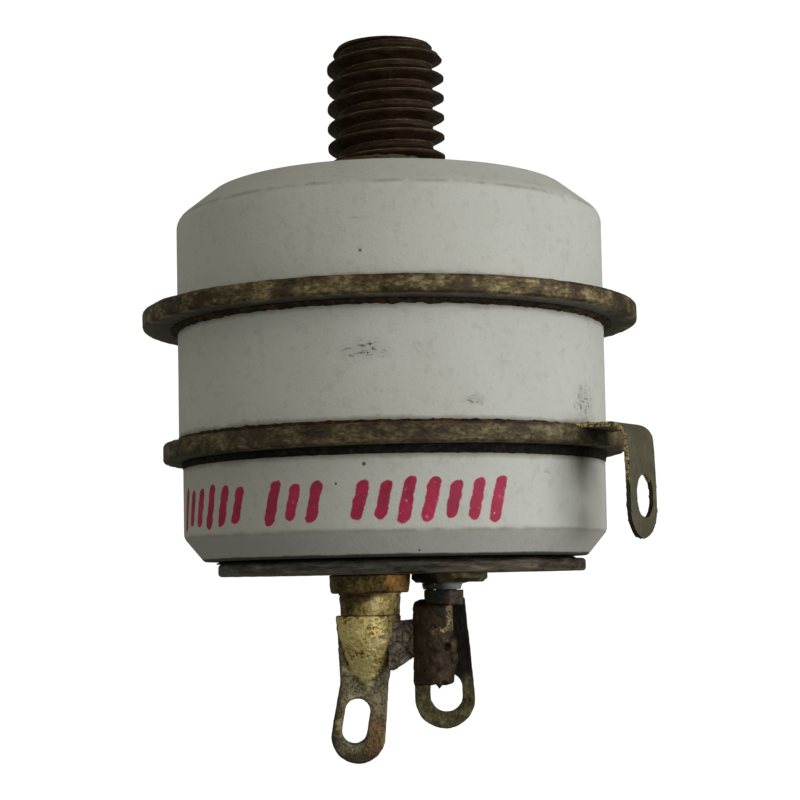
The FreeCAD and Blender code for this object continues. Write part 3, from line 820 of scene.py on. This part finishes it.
def make_cathode_lug(material):
    """A thin strip let into the ring and bent down, with sheared edges and an oval hole."""
    span = Box("cathode_lug")
    reach = 10.745
    bend_r = 0.5
    start = 8.46
    tip_r = 1.15
    root_half = 1.15
    flare_half = 1.55
    splay = math.radians(1.0)
    bow_depth = 0.2
    at, flat, curve = sheet_bend(reach, bend_r, LUG_SHEET, span.top, start, splay)
    straight_top = at(flat + curve, 0.0)[1]
    run = straight_top - span.bottom
    length = flat + curve + run - 0.005
    hole = stadium(1.36, 1.57, 0, (0.0, length - 1.55))
    outline = [(LUG_SHIFT - flare_half, 0.0), (LUG_SHIFT + flare_half, 0.0), (LUG_SHIFT + root_half, flat)]
    outline += arc_points((LUG_SHIFT, length - tip_r), tip_r, 0, 180, 32)
    outline += [(LUG_SHIFT - root_half, flat)]
    ragged = []
    for a, b in closed_divided(outline, 0.06):
        shear = 0.026 * rough(Vector((a * 2.0, b * 3.0, 5.0)), 0.25, 71.0)
        ragged.append((a + math.copysign(shear, a - LUG_SHIFT), b))
    inner = []
    for a, b in closed_divided(hole, 0.06):
        inner.append((a + 0.022 * rough(Vector((a * 2.0, b * 3.0, 9.0)), 0.2, 73.0), b))
    flat_sheet = extruded(ragged, [inner], LUG_SHEET, lambda a, b, depth: (a, b, depth))
    mesh = melted([flat_sheet], voxel=0.035, smoothing=1)
    sheared = mesh.verts.layers.float.new("sheared")
    mesh.normal_update()
    across = Vector((-math.sin(LUG_AZIMUTH), math.cos(LUG_AZIMUTH), 0))
    outward = Vector((math.cos(LUG_AZIMUTH), math.sin(LUG_AZIMUTH), 0))
    for v in mesh.verts:
        v[sheared] = smoothstep(0.5, 0.9, math.hypot(v.normal.x, v.normal.y))
        a, b, depth = v.co
        out, z = at(b, depth)
        down = max(0.0, b - flat - curve) / run
        bow = bow_depth * (down - down * down)
        v.co = outward * (out + bow) + across * a + Vector((0, 0, z))
        v.co.z += RING_TILT * v.co.x * smoothstep(straight_top - 1.0, straight_top, v.co.z)
    bmesh.ops.recalc_face_normals(mesh, faces=mesh.faces)
    mesh.normal_update()

    def serrated(v):
        teeth = 0.05 * rough(v.co, 0.18, 75.0) * v[sheared]
        return 0.006 * rough(v.co, 0.4, 77.0) + teeth - 0.008

    moves = [(v, v.normal * serrated(v)) for v in mesh.verts]
    for v, move in moves:
        v.co += move
    piece("cathode_lug_strip", mesh, material, "cathode_lug", sharp=45)


def make_post(material):
    """The first terminal's collar and neck, both turned and slightly tapered."""
    span = Box("heater_post_a")
    disc_bottom = Box("heater_disc").bottom
    lug_top = Box("heater_lug_a").top
    collar_low = disc_bottom - COLLAR_HEIGHT
    pin_r = 0.6
    spigot_r = 0.88
    neck = [(1.15, lug_top, 0.03), (1.17, lug_top + 0.06, 0.03), (1.18, lug_top + 0.3, 0.2),
            (1.22, collar_low - 0.14, 0.03), (1.19, collar_low - 0.1, 0.02),
            (1.24, collar_low - 0.04, 0.02), (1.24, collar_low, 0.01)]
    collar = [(1.5, collar_low, 0.03), (1.55, collar_low + 0.08, 0.03), (1.575, collar_low + 0.3, 0.1),
              (span.radius, disc_bottom, 0.06)]
    corners = [(0, span.bottom, 0), (spigot_r, span.bottom, 0.05), (spigot_r, lug_top, 0)] + neck + collar
    corners += [(pin_r, disc_bottom, 0), (pin_r, span.top, 0.05), (0, span.top, 0)]
    mesh = turned(corners, span.centre, segments=180, step=0.06, arc_steps=4)

    def wear_and_highlight(p):
        pits = -0.03 * peaks(p, 0.5, 83.0, 0.3) - 0.04 * peaks(p, 0.16, 85.0, 0.35)
        return 0.018 * rough(p, 0.45, 81.0) + pits - 0.01

    disturb(mesh, wear_and_highlight)
    piece("heater_post_a_turned", mesh, material, "heater_post_a")


def make_lug_a(material):
    """A tube pressed flat: round at the top, closing in a V to a leaning plate with an oval hole."""
    span = Box("heater_lug_a")
    tube_x = -1.07
    tube_r = 1.25
    tip_x = -1.52
    tip_r = 1.06
    lean = 8.0
    plate = 0.46
    tongue = 2.55
    tongue_x = -1.15
    z_top = span.top
    z_round = z_top - 0.45
    z_waist = z_top - 2.6
    z_bottom = span.bottom + 0.01
    waist_x = -1.25
    waist_half = 0.95
    outline = arc_points((tip_x, z_bottom + tip_r), tip_r, -lean, -180 - lean, 32)
    outline += [(waist_x - waist_half, z_waist), (tube_x - tube_r * 0.97, z_round),
                (tube_x + tube_r * 0.97, z_round), (waist_x + waist_half, z_waist)]
    hole = stadium(0.98, 1.75, 10.0, (tip_x - 0.08, z_bottom + 1.66))

    tube = bmesh.new()
    rings = []
    around = 72
    levels = 44
    z_tongue = z_round - tongue
    turns = [(math.cos(TURN * j / around), math.sin(TURN * j / around)) for j in range(around)]
    for i in range(levels + 1):
        z = z_top + (z_tongue - z_top) * i / levels
        closing = clamped((z_round - z) / tongue)
        half_x = tube_r * (1 - closing) ** 0.75 + 0.3 * closing
        half_y = tube_r * (1 - smoothstep(0.0, 1.05, closing)) + 0.2 * closing
        centre_x = tube_x + (tongue_x - tube_x) * closing
        rings.append([tube.verts.new((centre_x + half_x * c, half_y * s, z)) for c, s in turns])
    skin(tube, rings)
    tube.faces.new(rings[0])
    tube.faces.new(rings[-1])
    bmesh.ops.recalc_face_normals(tube, faces=tube.faces)
    mesh = melted([upright(outline, [hole], plate, -plate / 2), tube], voxel=0.04, smoothing=9)

    def pitted(p):
        lively = smoothstep(z_tongue - 0.2, z_tongue + 0.9, p.z)
        pits = -0.05 * peaks(p, 0.22, 91.0, 0.22) - 0.03 * peaks(p, 0.12, 95.0, 0.2)
        right = smoothstep(tube_x + 0.2, tube_x + 0.8, p.x) * smoothstep(z_top - 2.6, z_top - 0.2, p.z)
        splash = 0.03 * right * (1 - 4 * abs(wobble(p, 0.24, 97.0)))
        return (0.01 + 0.012 * lively) * rough(p, 0.26, 93.0) + pits * (0.3 + 0.7 * lively) + splash

    disturb(mesh, pitted)
    piece("heater_lug_a_pressed", mesh, material, "heater_lug_a")


def ball(radius, centre, stretch):
    mesh = bmesh.new()
    bmesh.ops.create_icosphere(mesh, subdivisions=4, radius=radius)
    for v in mesh.verts:
        v.co = v.co * Vector(stretch) + Vector(centre)
    return mesh


def make_solder(material):
    """A cold block of old solder between the two terminals, flat on top and slanted below."""
    span = Box("heater_solder_a")
    growth = 0.08
    front = ((-0.28, 0.14), (0.7, 0.07), (0.72, 1.45), (0.42, 1.68), (-0.12, 2.02), (-0.28, 1.98))
    front = [(x, span.top - below) for x, below in front]
    block = upright(front, [], span.high.y - span.low.y - 2 * growth, span.low.y + growth)
    mesh = melted([block], voxel=0.035, smoothing=5)

    def clotted(p):
        lumps = 0.035 * rough(p, 0.22, 101.0) - 0.03 * peaks(p, 0.2, 103.0)
        return lumps - 0.1 * cracks(p, 0.42, 105.0, 0.1) + 0.01

    disturb(mesh, clotted)
    piece("heater_solder_lump", mesh, material, "heater_solder_a", sharp=60)


def make_terminal_b(materials):
    """Washer, glass bead and nut of the second terminal."""
    disc_bottom = Box("heater_disc").bottom
    span = Box("heater_washer_b")
    washer_low = span.bottom
    corners = [(0.5, washer_low, 0), (span.radius - 0.16, washer_low, 0.06),
               (span.radius, washer_low + 0.16, 0.05), (span.radius, disc_bottom, 0.02),
               (0.5, disc_bottom, 0)]
    mesh = turned(corners, span.centre, segments=140, step=0.1, arc_steps=4)
    disturb(mesh, lambda p: 0.018 * rough(p, 0.4, 111.0) - 0.01)
    piece("heater_washer_b_plate", mesh, materials["brown"], "heater_washer_b", sharp=45)

    span = Box("feedthrough_glass_b")
    corners = [(0.34, span.bottom, 0), (0.74, span.bottom, 0.03), (0.81, washer_low - 0.04, 0.06),
               (span.radius, washer_low, 0.02), (span.radius, span.top, 0.02), (0.34, span.top, 0)]
    mesh = turned(corners, (Box("heater_pin_b").centre.x, 0), segments=96, step=0.06)
    # The bead sags to the left below the washer.
    sag = 0.11
    for v in mesh.verts:
        v.co.x -= sag * smoothstep(washer_low, washer_low - 0.08, v.co.z)
    disturb(mesh, lambda p: 0.01 * wobble(p, 0.4, 115.0) - 0.008)
    piece("glass_bead_b", mesh, materials["glass"], "feedthrough_glass_b", sharp=60)

    span = Box("heater_nut_b")
    corners = [(0.33, span.bottom, 0), (span.radius - 0.02, span.bottom, 0.08),
               (span.radius, span.top, 0.06), (0.33, span.top, 0)]
    mesh = turned(corners, (span.centre.x, 0), segments=110, step=0.06)
    disturb(mesh, lambda p: 0.028 * rough(p, 0.4, 121.0) - 0.02 * peaks(p, 0.35, 123.0) - 0.014)
    piece("heater_nut_b_collar", mesh, materials["brown_dark"], "heater_nut_b")


def make_lug_b(material):
    """The flat lug behind the barrel."""
    span = Box("heater_lug_b")
    tip_x = 1.91
    tip_r = 1.19
    left = 0.7
    right = 2.76
    outline = arc_points((tip_x, span.bottom + tip_r), tip_r, 0, -180, 32)
    outline += [(left, span.top - 0.26), (left + 0.08, span.top - 0.13), (left + 0.32, span.top - 0.04),
                (right, span.top)]
    hole = stadium(1.24, 1.52, 0, (tip_x + 0.06, span.bottom + 1.43))
    plate = upright(outline, [hole], span.high.y - span.low.y, span.low.y)
    mesh = melted([plate], voxel=0.045)
    disturb(mesh, lambda p: 0.016 * rough(p, 0.4, 131.0) - 0.03 * peaks(p, 0.4, 133.0, 0.3) - 0.006)
    piece("heater_lug_b_plate", mesh, material, "heater_lug_b")


def make_barrel(material):
    """A crumpled sleeve crimped on the lug: folded at its right side, torn at its lower end."""
    span = Box("heater_barrel_b")
    centre = (1.46, -0.69)
    radius = 0.8
    bore = 0.5
    shut = 1.6
    z_high = span.top
    z_low = span.bottom
    spike_x = 1.66
    spike_half = 0.14
    lug_face = Box("heater_lug_b").low.y
    corners = [(bore, z_low, 0.03), (radius, z_low, 0.05), (radius, z_high, 0.16), (0.06, z_high, 0),
               (0.06, z_high - shut, 0), (bore, z_high - shut, 0)]
    sleeve = turned(corners, centre, segments=96, step=0.1, arc_steps=4)
    # The sleeve's back is pressed flat against the lug.
    for v in sleeve.verts:
        v.co.y = min(v.co.y, lug_face - 0.02)
        tear = smoothstep(z_low + 0.5, z_low, v.co.z)
        spike = 0.2 * max(0.0, 1 - abs(v.co.x - spike_x) / spike_half)
        torn = 0.2 * max(-0.4, wobble(Vector((v.co.x, v.co.y, 0)), 0.45, 141.0))
        v.co.z += tear * (0.2 + torn - spike)
    # The fold, with a dark hole in its front.
    fold_x = 2.12
    fold_y = -0.95
    fold_top = z_high - 1.22
    fold = [
        ball(0.3, (fold_x - 0.02, fold_y, fold_top - 0.35), (1.0, 1.0, 1.3)),
        ball(0.3, (fold_x, fold_y, fold_top - 0.8), (1.0, 1.0, 1.5)),
        ball(0.26, (fold_x - 0.02, fold_y + 0.02, fold_top - 1.2), (0.9, 1.0, 1.2)),
    ]
    mesh = melted([sleeve] + fold, voxel=0.045)
    eye = Vector((fold_x - 0.16, fold_y - 0.27, fold_top - 0.42))

    def crumpled(p):
        hole = -0.26 * smoothstep(0.2, 0.05, (p - eye).length)
        return 0.03 * rough(p, 0.35, 147.0) - 0.042 * cracks(p, 0.75, 143.0, 0.12) + hole - 0.012

    disturb(mesh, crumpled)
    piece("heater_barrel_b_crimp", mesh, material, "heater_barrel_b", sharp=55)


def dress_inner_nodes():
    """The pieces that the envelope hides, the collar, its braze and the pin keep their CAD shape."""
    nickel = plain_metal("nickel_inside", (0.6, 0.59, 0.56), 0.3)
    tungsten = plain_metal("tungsten_inside", (0.32, 0.32, 0.33), 0.38)
    copper = plain_metal("copper_inside", (0.8, 0.42, 0.26), 0.32)
    oxide = coated("oxide_inside", (0.86, 0.86, 0.84))
    collar = old_metal("collar_brass", (0.3, 0.22, 0.1), (0.1, 0.07, 0.03), (0.72, 0.58, 0.3), 0.8)
    braze = old_metal("anode_braze_dark", (0.1, 0.08, 0.06), (0.03, 0.025, 0.02), (0.25, 0.2, 0.14), 0.5)
    looks = {
        nickel: ("grid_frame", "cathode_sleeve", "cathode_cap", "heat_shield"),
        tungsten: ("grid_wires", "heater_lead_a", "heater_lead_b", "heater_pin_b"),
        copper: ("anode_block",),
        oxide: ("cathode_coating", "heater_wire"),
        collar: ("anode_collar",),
        braze: ("anode_braze",),
    }
    for material, names in looks.items():
        for name in names:
            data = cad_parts[name].data
            data.materials.clear()
            data.materials.append(material)


def metals():
    return {
        "stud": old_metal(
            "stud_bronze", (0.03, 0.015, 0.006), (0.016, 0.007, 0.002), (0.06, 0.038, 0.02), 0.7,
            metallic=0.35, rough_low=0.46, rough_high=0.64, stretch=(1.0, 1.0, 0.3), specular=0.2,
            bared=(0.5, 0.37, 0.24)),
        # The rings' under colours are painted shade on their downward faces near the body.
        "ring": old_metal(
            "ring_brass", (0.12, 0.088, 0.038), (0.028, 0.018, 0.009), (0.42, 0.34, 0.18), 0.7,
            rust=(0.06, 0.036, 0.022), metallic=0.6, rough_low=0.42, rough_high=0.66,
            light_share=0.56, stretch=(1.5, 1.5, 0.8), under=(0.018, 0.012, 0.007)),
        "ring_low": old_metal(
            "ring_brass_low", (0.095, 0.07, 0.034), (0.026, 0.018, 0.01), (0.3, 0.24, 0.13), 0.6,
            rust=(0.062, 0.036, 0.028), metallic=0.55, rough_low=0.48, rough_high=0.7,
            light_share=0.58, stretch=(1.5, 1.5, 0.8), under=(0.014, 0.01, 0.006)),
        "dark_braze": old_metal(
            "braze_grime", (0.026, 0.015, 0.008), (0.008, 0.005, 0.003), (0.1, 0.055, 0.02), 0.4,
            metallic=0.2, rough_low=0.6, rough_high=0.9, specular=0.3),
        "black_braze": old_metal(
            "gap_black", (0.008, 0.007, 0.005), (0.004, 0.004, 0.003), (0.05, 0.045, 0.035), 0.3,
            metallic=0.1, rough_low=0.7, rough_high=0.9, light_share=0.66, specular=0.2),
        "solder": old_metal(
            "solder_old", (0.19, 0.15, 0.115), (0.022, 0.015, 0.01), (0.42, 0.35, 0.27), 0.35,
            metallic=0.4, rough_low=0.5, rough_high=0.75),
        "disc": disc_metal(),
        "gold": post_metal(),
        "lug_a": lug_a_metal(),
        "lug": lug_metal(),
        "lug_b": lug_b_metal(),
        # The washer's left colour, plain near-black, is painted shade on the side away from the window.
        "brown": two_tone(
            "washer_brown", "heater_washer_b", 0.6,
            ((0.0, (0.008, 0.007, 0.006)), (1.0, (0.008, 0.007, 0.006))),
            ((0.36, (0.03, 0.02, 0.01)), (0.52, (0.1, 0.07, 0.03)), (0.68, (0.3, 0.22, 0.1))),
            sway=0.8, edge=(-0.5, 0.1), metallic=0.6, roughness=(0.65, 0.42)),
        "brown_dark": two_tone(
            "collar_brown", "heater_nut_b", 0.45,
            ((0.38, (0.012, 0.014, 0.01)), (0.62, (0.06, 0.066, 0.05))),
            ((0.38, (0.03, 0.018, 0.013)), (0.64, (0.14, 0.09, 0.066))),
            sway=0.5, edge=(0.0, 0.4), metallic=0.5, roughness=(0.65, 0.45)),
        "barrel": barrel_metal(),
        "glass": bead_glass(),
    }


def post_metal():
    """Gold neck, dark at its upper left, under a brown collar with an orange patch on its right."""
    s = Shade("terminal_gold")
    collar_low = Box("heater_disc").bottom - COLLAR_HEIGHT
    centre = Box("heater_post_a").centre
    wide, fine, both = s.patina(0.55, 0.12, 0.68, (0.5, 0.55))
    gold = s.ramp(both, (0.38, (0.11, 0.07, 0.02)), (0.49, (0.52, 0.38, 0.13)),
                  (0.6, (0.98, 0.8, 0.4)))
    brown = s.ramp(both, (0.38, (0.03, 0.018, 0.006)), (0.54, (0.14, 0.095, 0.035)),
                   (0.7, (0.4, 0.3, 0.12)))
    orange = s.ramp(both, (0.4, (0.16, 0.06, 0.015)), (0.62, (0.62, 0.34, 0.1)))
    slope = s.line(wide, 0.4, s.line(s.x, 0.55, s.times(s.z, -1.0)))
    start = 0.55 * centre.x - collar_low + 0.2
    neck = s.mix(s.between(slope, start + 0.1, start + 0.5), brown, gold)
    patch = s.between(s.line(wide, 0.9, s.x), centre.x + 0.85, centre.x + 1.2)
    collar = s.mix(patch, brown, orange)
    colour = s.mix(s.between(s.z, collar_low - 0.03, collar_low + 0.01), neck, collar)
    s.bump((fine, 0.04), (s.noise(0.06, 3.0, 0.6), 0.012))
    return s.finish(colour, 0.8, s.scaled(wide, 0.52, 0.3))


def lug_metal():
    """Smooth grey olive brass, darker low down, with bright sheared edges and dark hole walls."""
    s = Shade("lug_brass_olive")
    bottom = Box("cathode_lug").bottom
    sheared = s.attribute("sheared")
    wide = s.noise(1.4, 4.0, 0.6)
    fine = s.noise(0.1, 5.0, 0.7)
    grain = s.noise(0.3, 5.0, 0.68)
    face = s.ramp(wide, (0.35, (0.145, 0.13, 0.082)), (0.65, (0.215, 0.19, 0.125)))
    face = s.tint(face, s.between(grain, 0.46, 0.62), 0.45, (0.085, 0.072, 0.042))
    face = s.tint(face, s.between(fine, 0.58, 0.7), 0.3, (0.42, 0.36, 0.23))
    face = s.tint(face, s.between(s.z, bottom + 2.6, bottom + 0.6), 0.25, (0.085, 0.068, 0.042))
    bright = s.ramp(fine, (0.42, (0.04, 0.028, 0.012)), (0.56, (0.75, 0.6, 0.3)))
    edge = s.mix(s.between(s.z, bottom + 2.2, bottom + 1.9), bright, (0.05, 0.038, 0.02))
    colour = s.mix(s.between(sheared, 0.3, 0.7), face, edge)
    s.bump((fine, 0.012))
    return s.finish(colour, 0.6, s.scaled(wide, 0.45, 0.6))


def lug_b_metal():
    """Painted shadow: nearly black above the hole, on the lug's face behind the barrel. Green brown round
    the loop.
    """
    s = Shade("lug_brass_green")
    bottom = Box("heater_lug_b").bottom
    wide, fine, both = s.patina(0.7, 0.14, 0.66, (0.55, 0.5))
    loop = s.ramp(both, (0.4, (0.03, 0.024, 0.01)), (0.54, (0.12, 0.1, 0.045)),
                  (0.66, (0.3, 0.25, 0.13)))
    # Painted shadow: everything above the hole is nearly black.
    colour = s.mix(s.between(s.z, bottom + 1.5, bottom + 2.4), loop, (0.012, 0.009, 0.006))
    s.bump((fine, 0.03))
    return s.finish(colour, 0.65, s.scaled(wide, 0.6, 0.4))


def two_tone(name, node, size, left, right, sway, edge, metallic, roughness):
    """One mottled colour on the piece's left and another on its right, with an uneven border."""
    s = Shade(name)
    middle = Box(node).centre.x
    wide = s.noise(size, 5.0, 0.62)
    side = s.between(s.line(wide, sway, s.x), middle + edge[0], middle + edge[1])
    colour = s.mix(side, s.ramp(wide, *left), s.ramp(wide, *right))
    s.bump((wide, 0.03))
    return s.finish(colour, metallic, s.scaled(wide, *roughness))


def barrel_metal():
    """Dark red brown, with a bright crack, and a painted highlight strip at the top right."""
    s = Shade("barrel_brown")
    top = Box("heater_barrel_b").top
    wide, fine, both = s.patina(0.5, 0.11, 0.68, (0.6, 0.45))
    colour = s.ramp(both, (0.4, (0.014, 0.007, 0.002)), (0.56, (0.05, 0.028, 0.008)),
                    (0.7, (0.12, 0.08, 0.034)))
    # The crack runs round the sleeve, and the painted highlight strip stands beside the lug.
    sway = s.noise(0.6, 4.0, 0.6)
    off_crack = s.off(s.z, s.line(sway, 1.1, top - 1.55))
    crack = s.times(s.between(off_crack, 0.075, 0.02), s.between(fine, 0.42, 0.56))
    crack = s.times(crack, s.between(s.x, 1.0, 1.9))
    strip = s.times(s.between(s.x, 1.93, 2.03), s.between(s.z, top - 1.0, top - 0.8))
    strip = s.times(strip, s.between(fine, 0.4, 0.56))
    colour = s.tint(colour, s.most(crack, strip), 0.75, (0.5, 0.39, 0.21))
    s.bump((fine, 0.03), (wide, 0.05))
    return s.finish(colour, 0.5, s.scaled(wide, 0.68, 0.44))


def disc_metal():
    """Blue-black on the left, rusty brown on the right, with a painted highlight along its lower edge."""
    s = Shade("disc_steel")
    span = Box("heater_disc")
    fine = s.noise(0.22, 5.0, 0.65, stretch=(5.0, 5.0, 1.0))
    wide = s.noise(2.2, 4.0, 0.6)
    side = s.plus(s.x, s.line(wide, 7.0, -3.5))
    rusty = s.ramp(fine, (0.36, (0.016, 0.011, 0.007)), (0.52, (0.072, 0.052, 0.034)),
                   (0.7, (0.2, 0.155, 0.11)))
    blue = s.ramp(fine, (0.36, (0.018, 0.018, 0.014)), (0.52, (0.095, 0.095, 0.082)),
                  (0.68, (0.24, 0.24, 0.22)))
    colour = s.mix(s.between(side, span.centre.x - 2.0, span.centre.x + 3.5), blue, rusty)
    # Painted highlight: a broken light line along the rounded lower edge.
    marks = s.noise(1.2, 4.0, 0.6)
    edge = s.between(s.z, span.bottom + 0.12, span.bottom + 0.05)
    wear_and_highlight = s.times(edge, s.between(marks, 0.36, 0.5))
    colour = s.tint(colour, wear_and_highlight, 0.7, (0.22, 0.19, 0.15))
    s.bump((fine, 0.02), (s.noise(0.1, 3.0), 0.008))
    return s.finish(colour, 0.55, s.scaled(wide, 0.45, 0.65))


def lug_a_metal():
    """Bright pitted gold where the tube stands proud, partly the tube's own gold and partly painted
    highlight; olive and copper brown on the flat lug.
    """
    s = Shade("lug_a_brass")
    bottom = Box("heater_lug_a").bottom
    wide, fine, both = s.patina(0.8, 0.11, 0.7, (0.42, 0.62))
    gold = s.ramp(both, (0.4, (0.12, 0.07, 0.016)), (0.46, (0.66, 0.47, 0.14)), (0.51, (1.0, 0.84, 0.37)))
    dull = s.ramp(both, (0.38, (0.045, 0.036, 0.018)), (0.5, (0.17, 0.145, 0.085)),
                  (0.62, (0.38, 0.33, 0.22)))
    copper = s.ramp(both, (0.4, (0.085, 0.046, 0.022)), (0.58, (0.3, 0.19, 0.105)))
    patches = s.noise(1.1, 4.0, 0.6)
    right = s.between(s.plus(s.x, s.line(patches, 1.2, -0.6)), -1.45, -0.95)
    lowest = s.between(s.line(patches, 1.0, s.z), bottom + 2.7, bottom + 1.9)
    flat = s.mix(s.times(right, lowest), dull, copper)
    # Dark on the flat lug's left, and round its tip.
    dark_left = s.between(s.line(patches, 0.8, s.x), -1.62, -2.02)
    flat = s.tint(flat, dark_left, 0.8, (0.03, 0.02, 0.01))
    tip = s.between(s.line(patches, 0.5, s.z), bottom + 1.0, bottom + 0.5)
    flat = s.tint(flat, tip, 0.8, (0.05, 0.034, 0.018))
    # Gold where the tube comes forward on the camera's side: partly the tube's own gold, partly painted
    # highlight.
    proud = s.plus(s.times(s.y, -1.0), s.line(wide, 0.45, -0.22))
    grey = s.between(s.line(wide, 0.9, s.x), -0.35, 0.2)
    gold = s.tint(gold, grey, 0.5, dull)
    colour = s.mix(s.between(proud, 0.24, 0.4), flat, gold)
    s.bump((fine, 0.05), (s.noise(0.06, 3.0, 0.6), 0.012))
    return s.finish(colour, 0.8, s.scaled(wide, 0.5, 0.32))


# ---------------- stage, light and camera


def make_backdrop():
    """A seamless pale floor and dome. Only the camera sees them, so they throw no light on the part."""
    floor_radius = 600.0
    curb = 300.0
    dome = 900.0
    z_floor = cad_low.z / MM - FLOOR_GAP
    outline = [Vector((0.0, z_floor)), Vector((floor_radius, z_floor))]
    outline += [Vector(q) for q in arc_points((floor_radius, z_floor + curb), curb, -90, 0, 12)]
    outline += [Vector(q) for q in arc_points((0.0, z_floor + curb), dome, 5, 90, 16)]
    mesh = revolve(outline, segments=64, ends_meet=False)
    bmesh.ops.reverse_faces(mesh, faces=mesh.faces)
    mesh.transform(Matrix.Scale(MM, 4))
    backdrop = mesh_object("backdrop", mesh)
    smooth_at_edges(backdrop.data, 60)
    s = Shade("backdrop_white")
    grain = s.ramp(s.noise(60.0, 2.0), (0.3, (0.6, 0.6, 0.6)), (0.7, (0.62, 0.62, 0.62)))
    backdrop.data.materials.append(s.finish(grain, 0.0, 0.9, 0.0))
    s.shader.inputs["Emission Color"].default_value = (1, 1, 1, 1)
    s.shader.inputs["Emission Strength"].default_value = BACKDROP_GLOW
    for ray in ("diffuse", "glossy", "transmission", "shadow"):
        setattr(backdrop, "visible_" + ray, False)


def make_lamps():
    """A broad window light low on the right, and a weak fill from the left."""
    centre = (cad_low + cad_high) / 2
    for name, azimuth, elevation, distance, size, watts, colour in LAMPS:
        turn, lift = math.radians(azimuth), math.radians(elevation)
        way = Vector((math.sin(turn) * math.cos(lift), -math.cos(turn) * math.cos(lift), math.sin(lift)))
        data = bpy.data.lights.new(name, "AREA")
        data.shape = "RECTANGLE"
        data.size, data.size_y = size
        data.energy = watts
        data.color = colour
        lamp = new_object(name, data)
        lamp.location = centre + way * distance
        lamp.rotation_euler = (-way).to_track_quat("-Z", "Y").to_euler()


def make_room():
    """A dim room around, brighter at the horizon than below."""
    world = bpy.data.worlds.new("studio")
    bpy.context.scene.world = world
    world.use_nodes = True
    nodes = world.node_tree.nodes
    links = world.node_tree.links
    place = nodes.new("ShaderNodeTexCoord")
    split = nodes.new("ShaderNodeSeparateXYZ")
    links.new(place.outputs["Generated"], split.inputs[0])
    height = nodes.new("ShaderNodeMapRange")
    height.inputs["From Min"].default_value = -1.0
    links.new(split.outputs["Z"], height.inputs["Value"])
    ramp = nodes.new("ShaderNodeValToRGB")
    fill_ramp(ramp.color_ramp, [(where, [level * c for c in ROOM_COLOUR]) for where, level in ROOM])
    links.new(height.outputs["Result"], ramp.inputs["Fac"])
    links.new(ramp.outputs["Color"], nodes["Background"].inputs["Color"])
    nodes["Background"].inputs["Strength"].default_value = 1.0


def make_camera():
    data = bpy.data.cameras.new("camera")
    data.lens = CAMERA_LENS
    data.sensor_width = 36.0
    data.shift_y = CAMERA_SHIFT
    data.clip_start = 0.005
    data.clip_end = 10.0
    camera = new_object("camera", data)
    yaw, pitch, roll = (math.radians(a) for a in (CAMERA_YAW, 90 + CAMERA_PITCH, -CAMERA_ROLL))
    turn = Matrix.Rotation(yaw, 3, "Z") @ Matrix.Rotation(pitch, 3, "X") @ Matrix.Rotation(roll, 3, "Z")
    camera.matrix_world = Matrix.Translation(Vector(CAMERA_PLACE) * MM) @ turn.to_4x4()
    bpy.context.scene.camera = camera


def main():
    bpy.context.scene.view_settings.view_transform = "Standard"
    looks = metals()
    # Spots are (x, z, radius), and smudges are (x, z, half width, half height).
    make_ceramics({
        "upper_ceramic": ceramic_plain("ceramic_upper", "upper_ceramic", 0.9, 0.0, ((-1.0, -4.42, 0.07),)),
        "middle_ceramic": ceramic_plain(
            "ceramic_middle", "middle_ceramic", 0.9, 0.7,
            ((-0.7, -7.75, 0.06), (-0.62, -7.9, 0.05), (-0.8, -8.05, 0.05)),
            ((-0.9, -7.95, 1.2, 0.55), (2.95, -9.75, 0.7, 0.25), (7.2, -9.6, 0.6, 1.0))),
        "lower_ceramic": inked_ceramic(
            "ceramic_lower_inked", "lower_ceramic",
            ((-1.0, -11.95, 0.09), (-2.0, -12.62, 0.06), (0.9, -15.0, 0.05))),
    })
    make_stud(looks["stud"])
    make_metal_rings(looks)
    make_brazes(looks)
    make_disc(looks["disc"])
    make_cathode_lug(looks["lug"])
    make_post(looks["gold"])
    make_lug_a(looks["lug_a"])
    make_solder(looks["solder"])
    make_terminal_b(looks)
    make_lug_b(looks["lug_b"])
    make_barrel(looks["barrel"])
    dress_inner_nodes()
    make_backdrop()
    make_lamps()
    make_room()
    make_camera()


main()
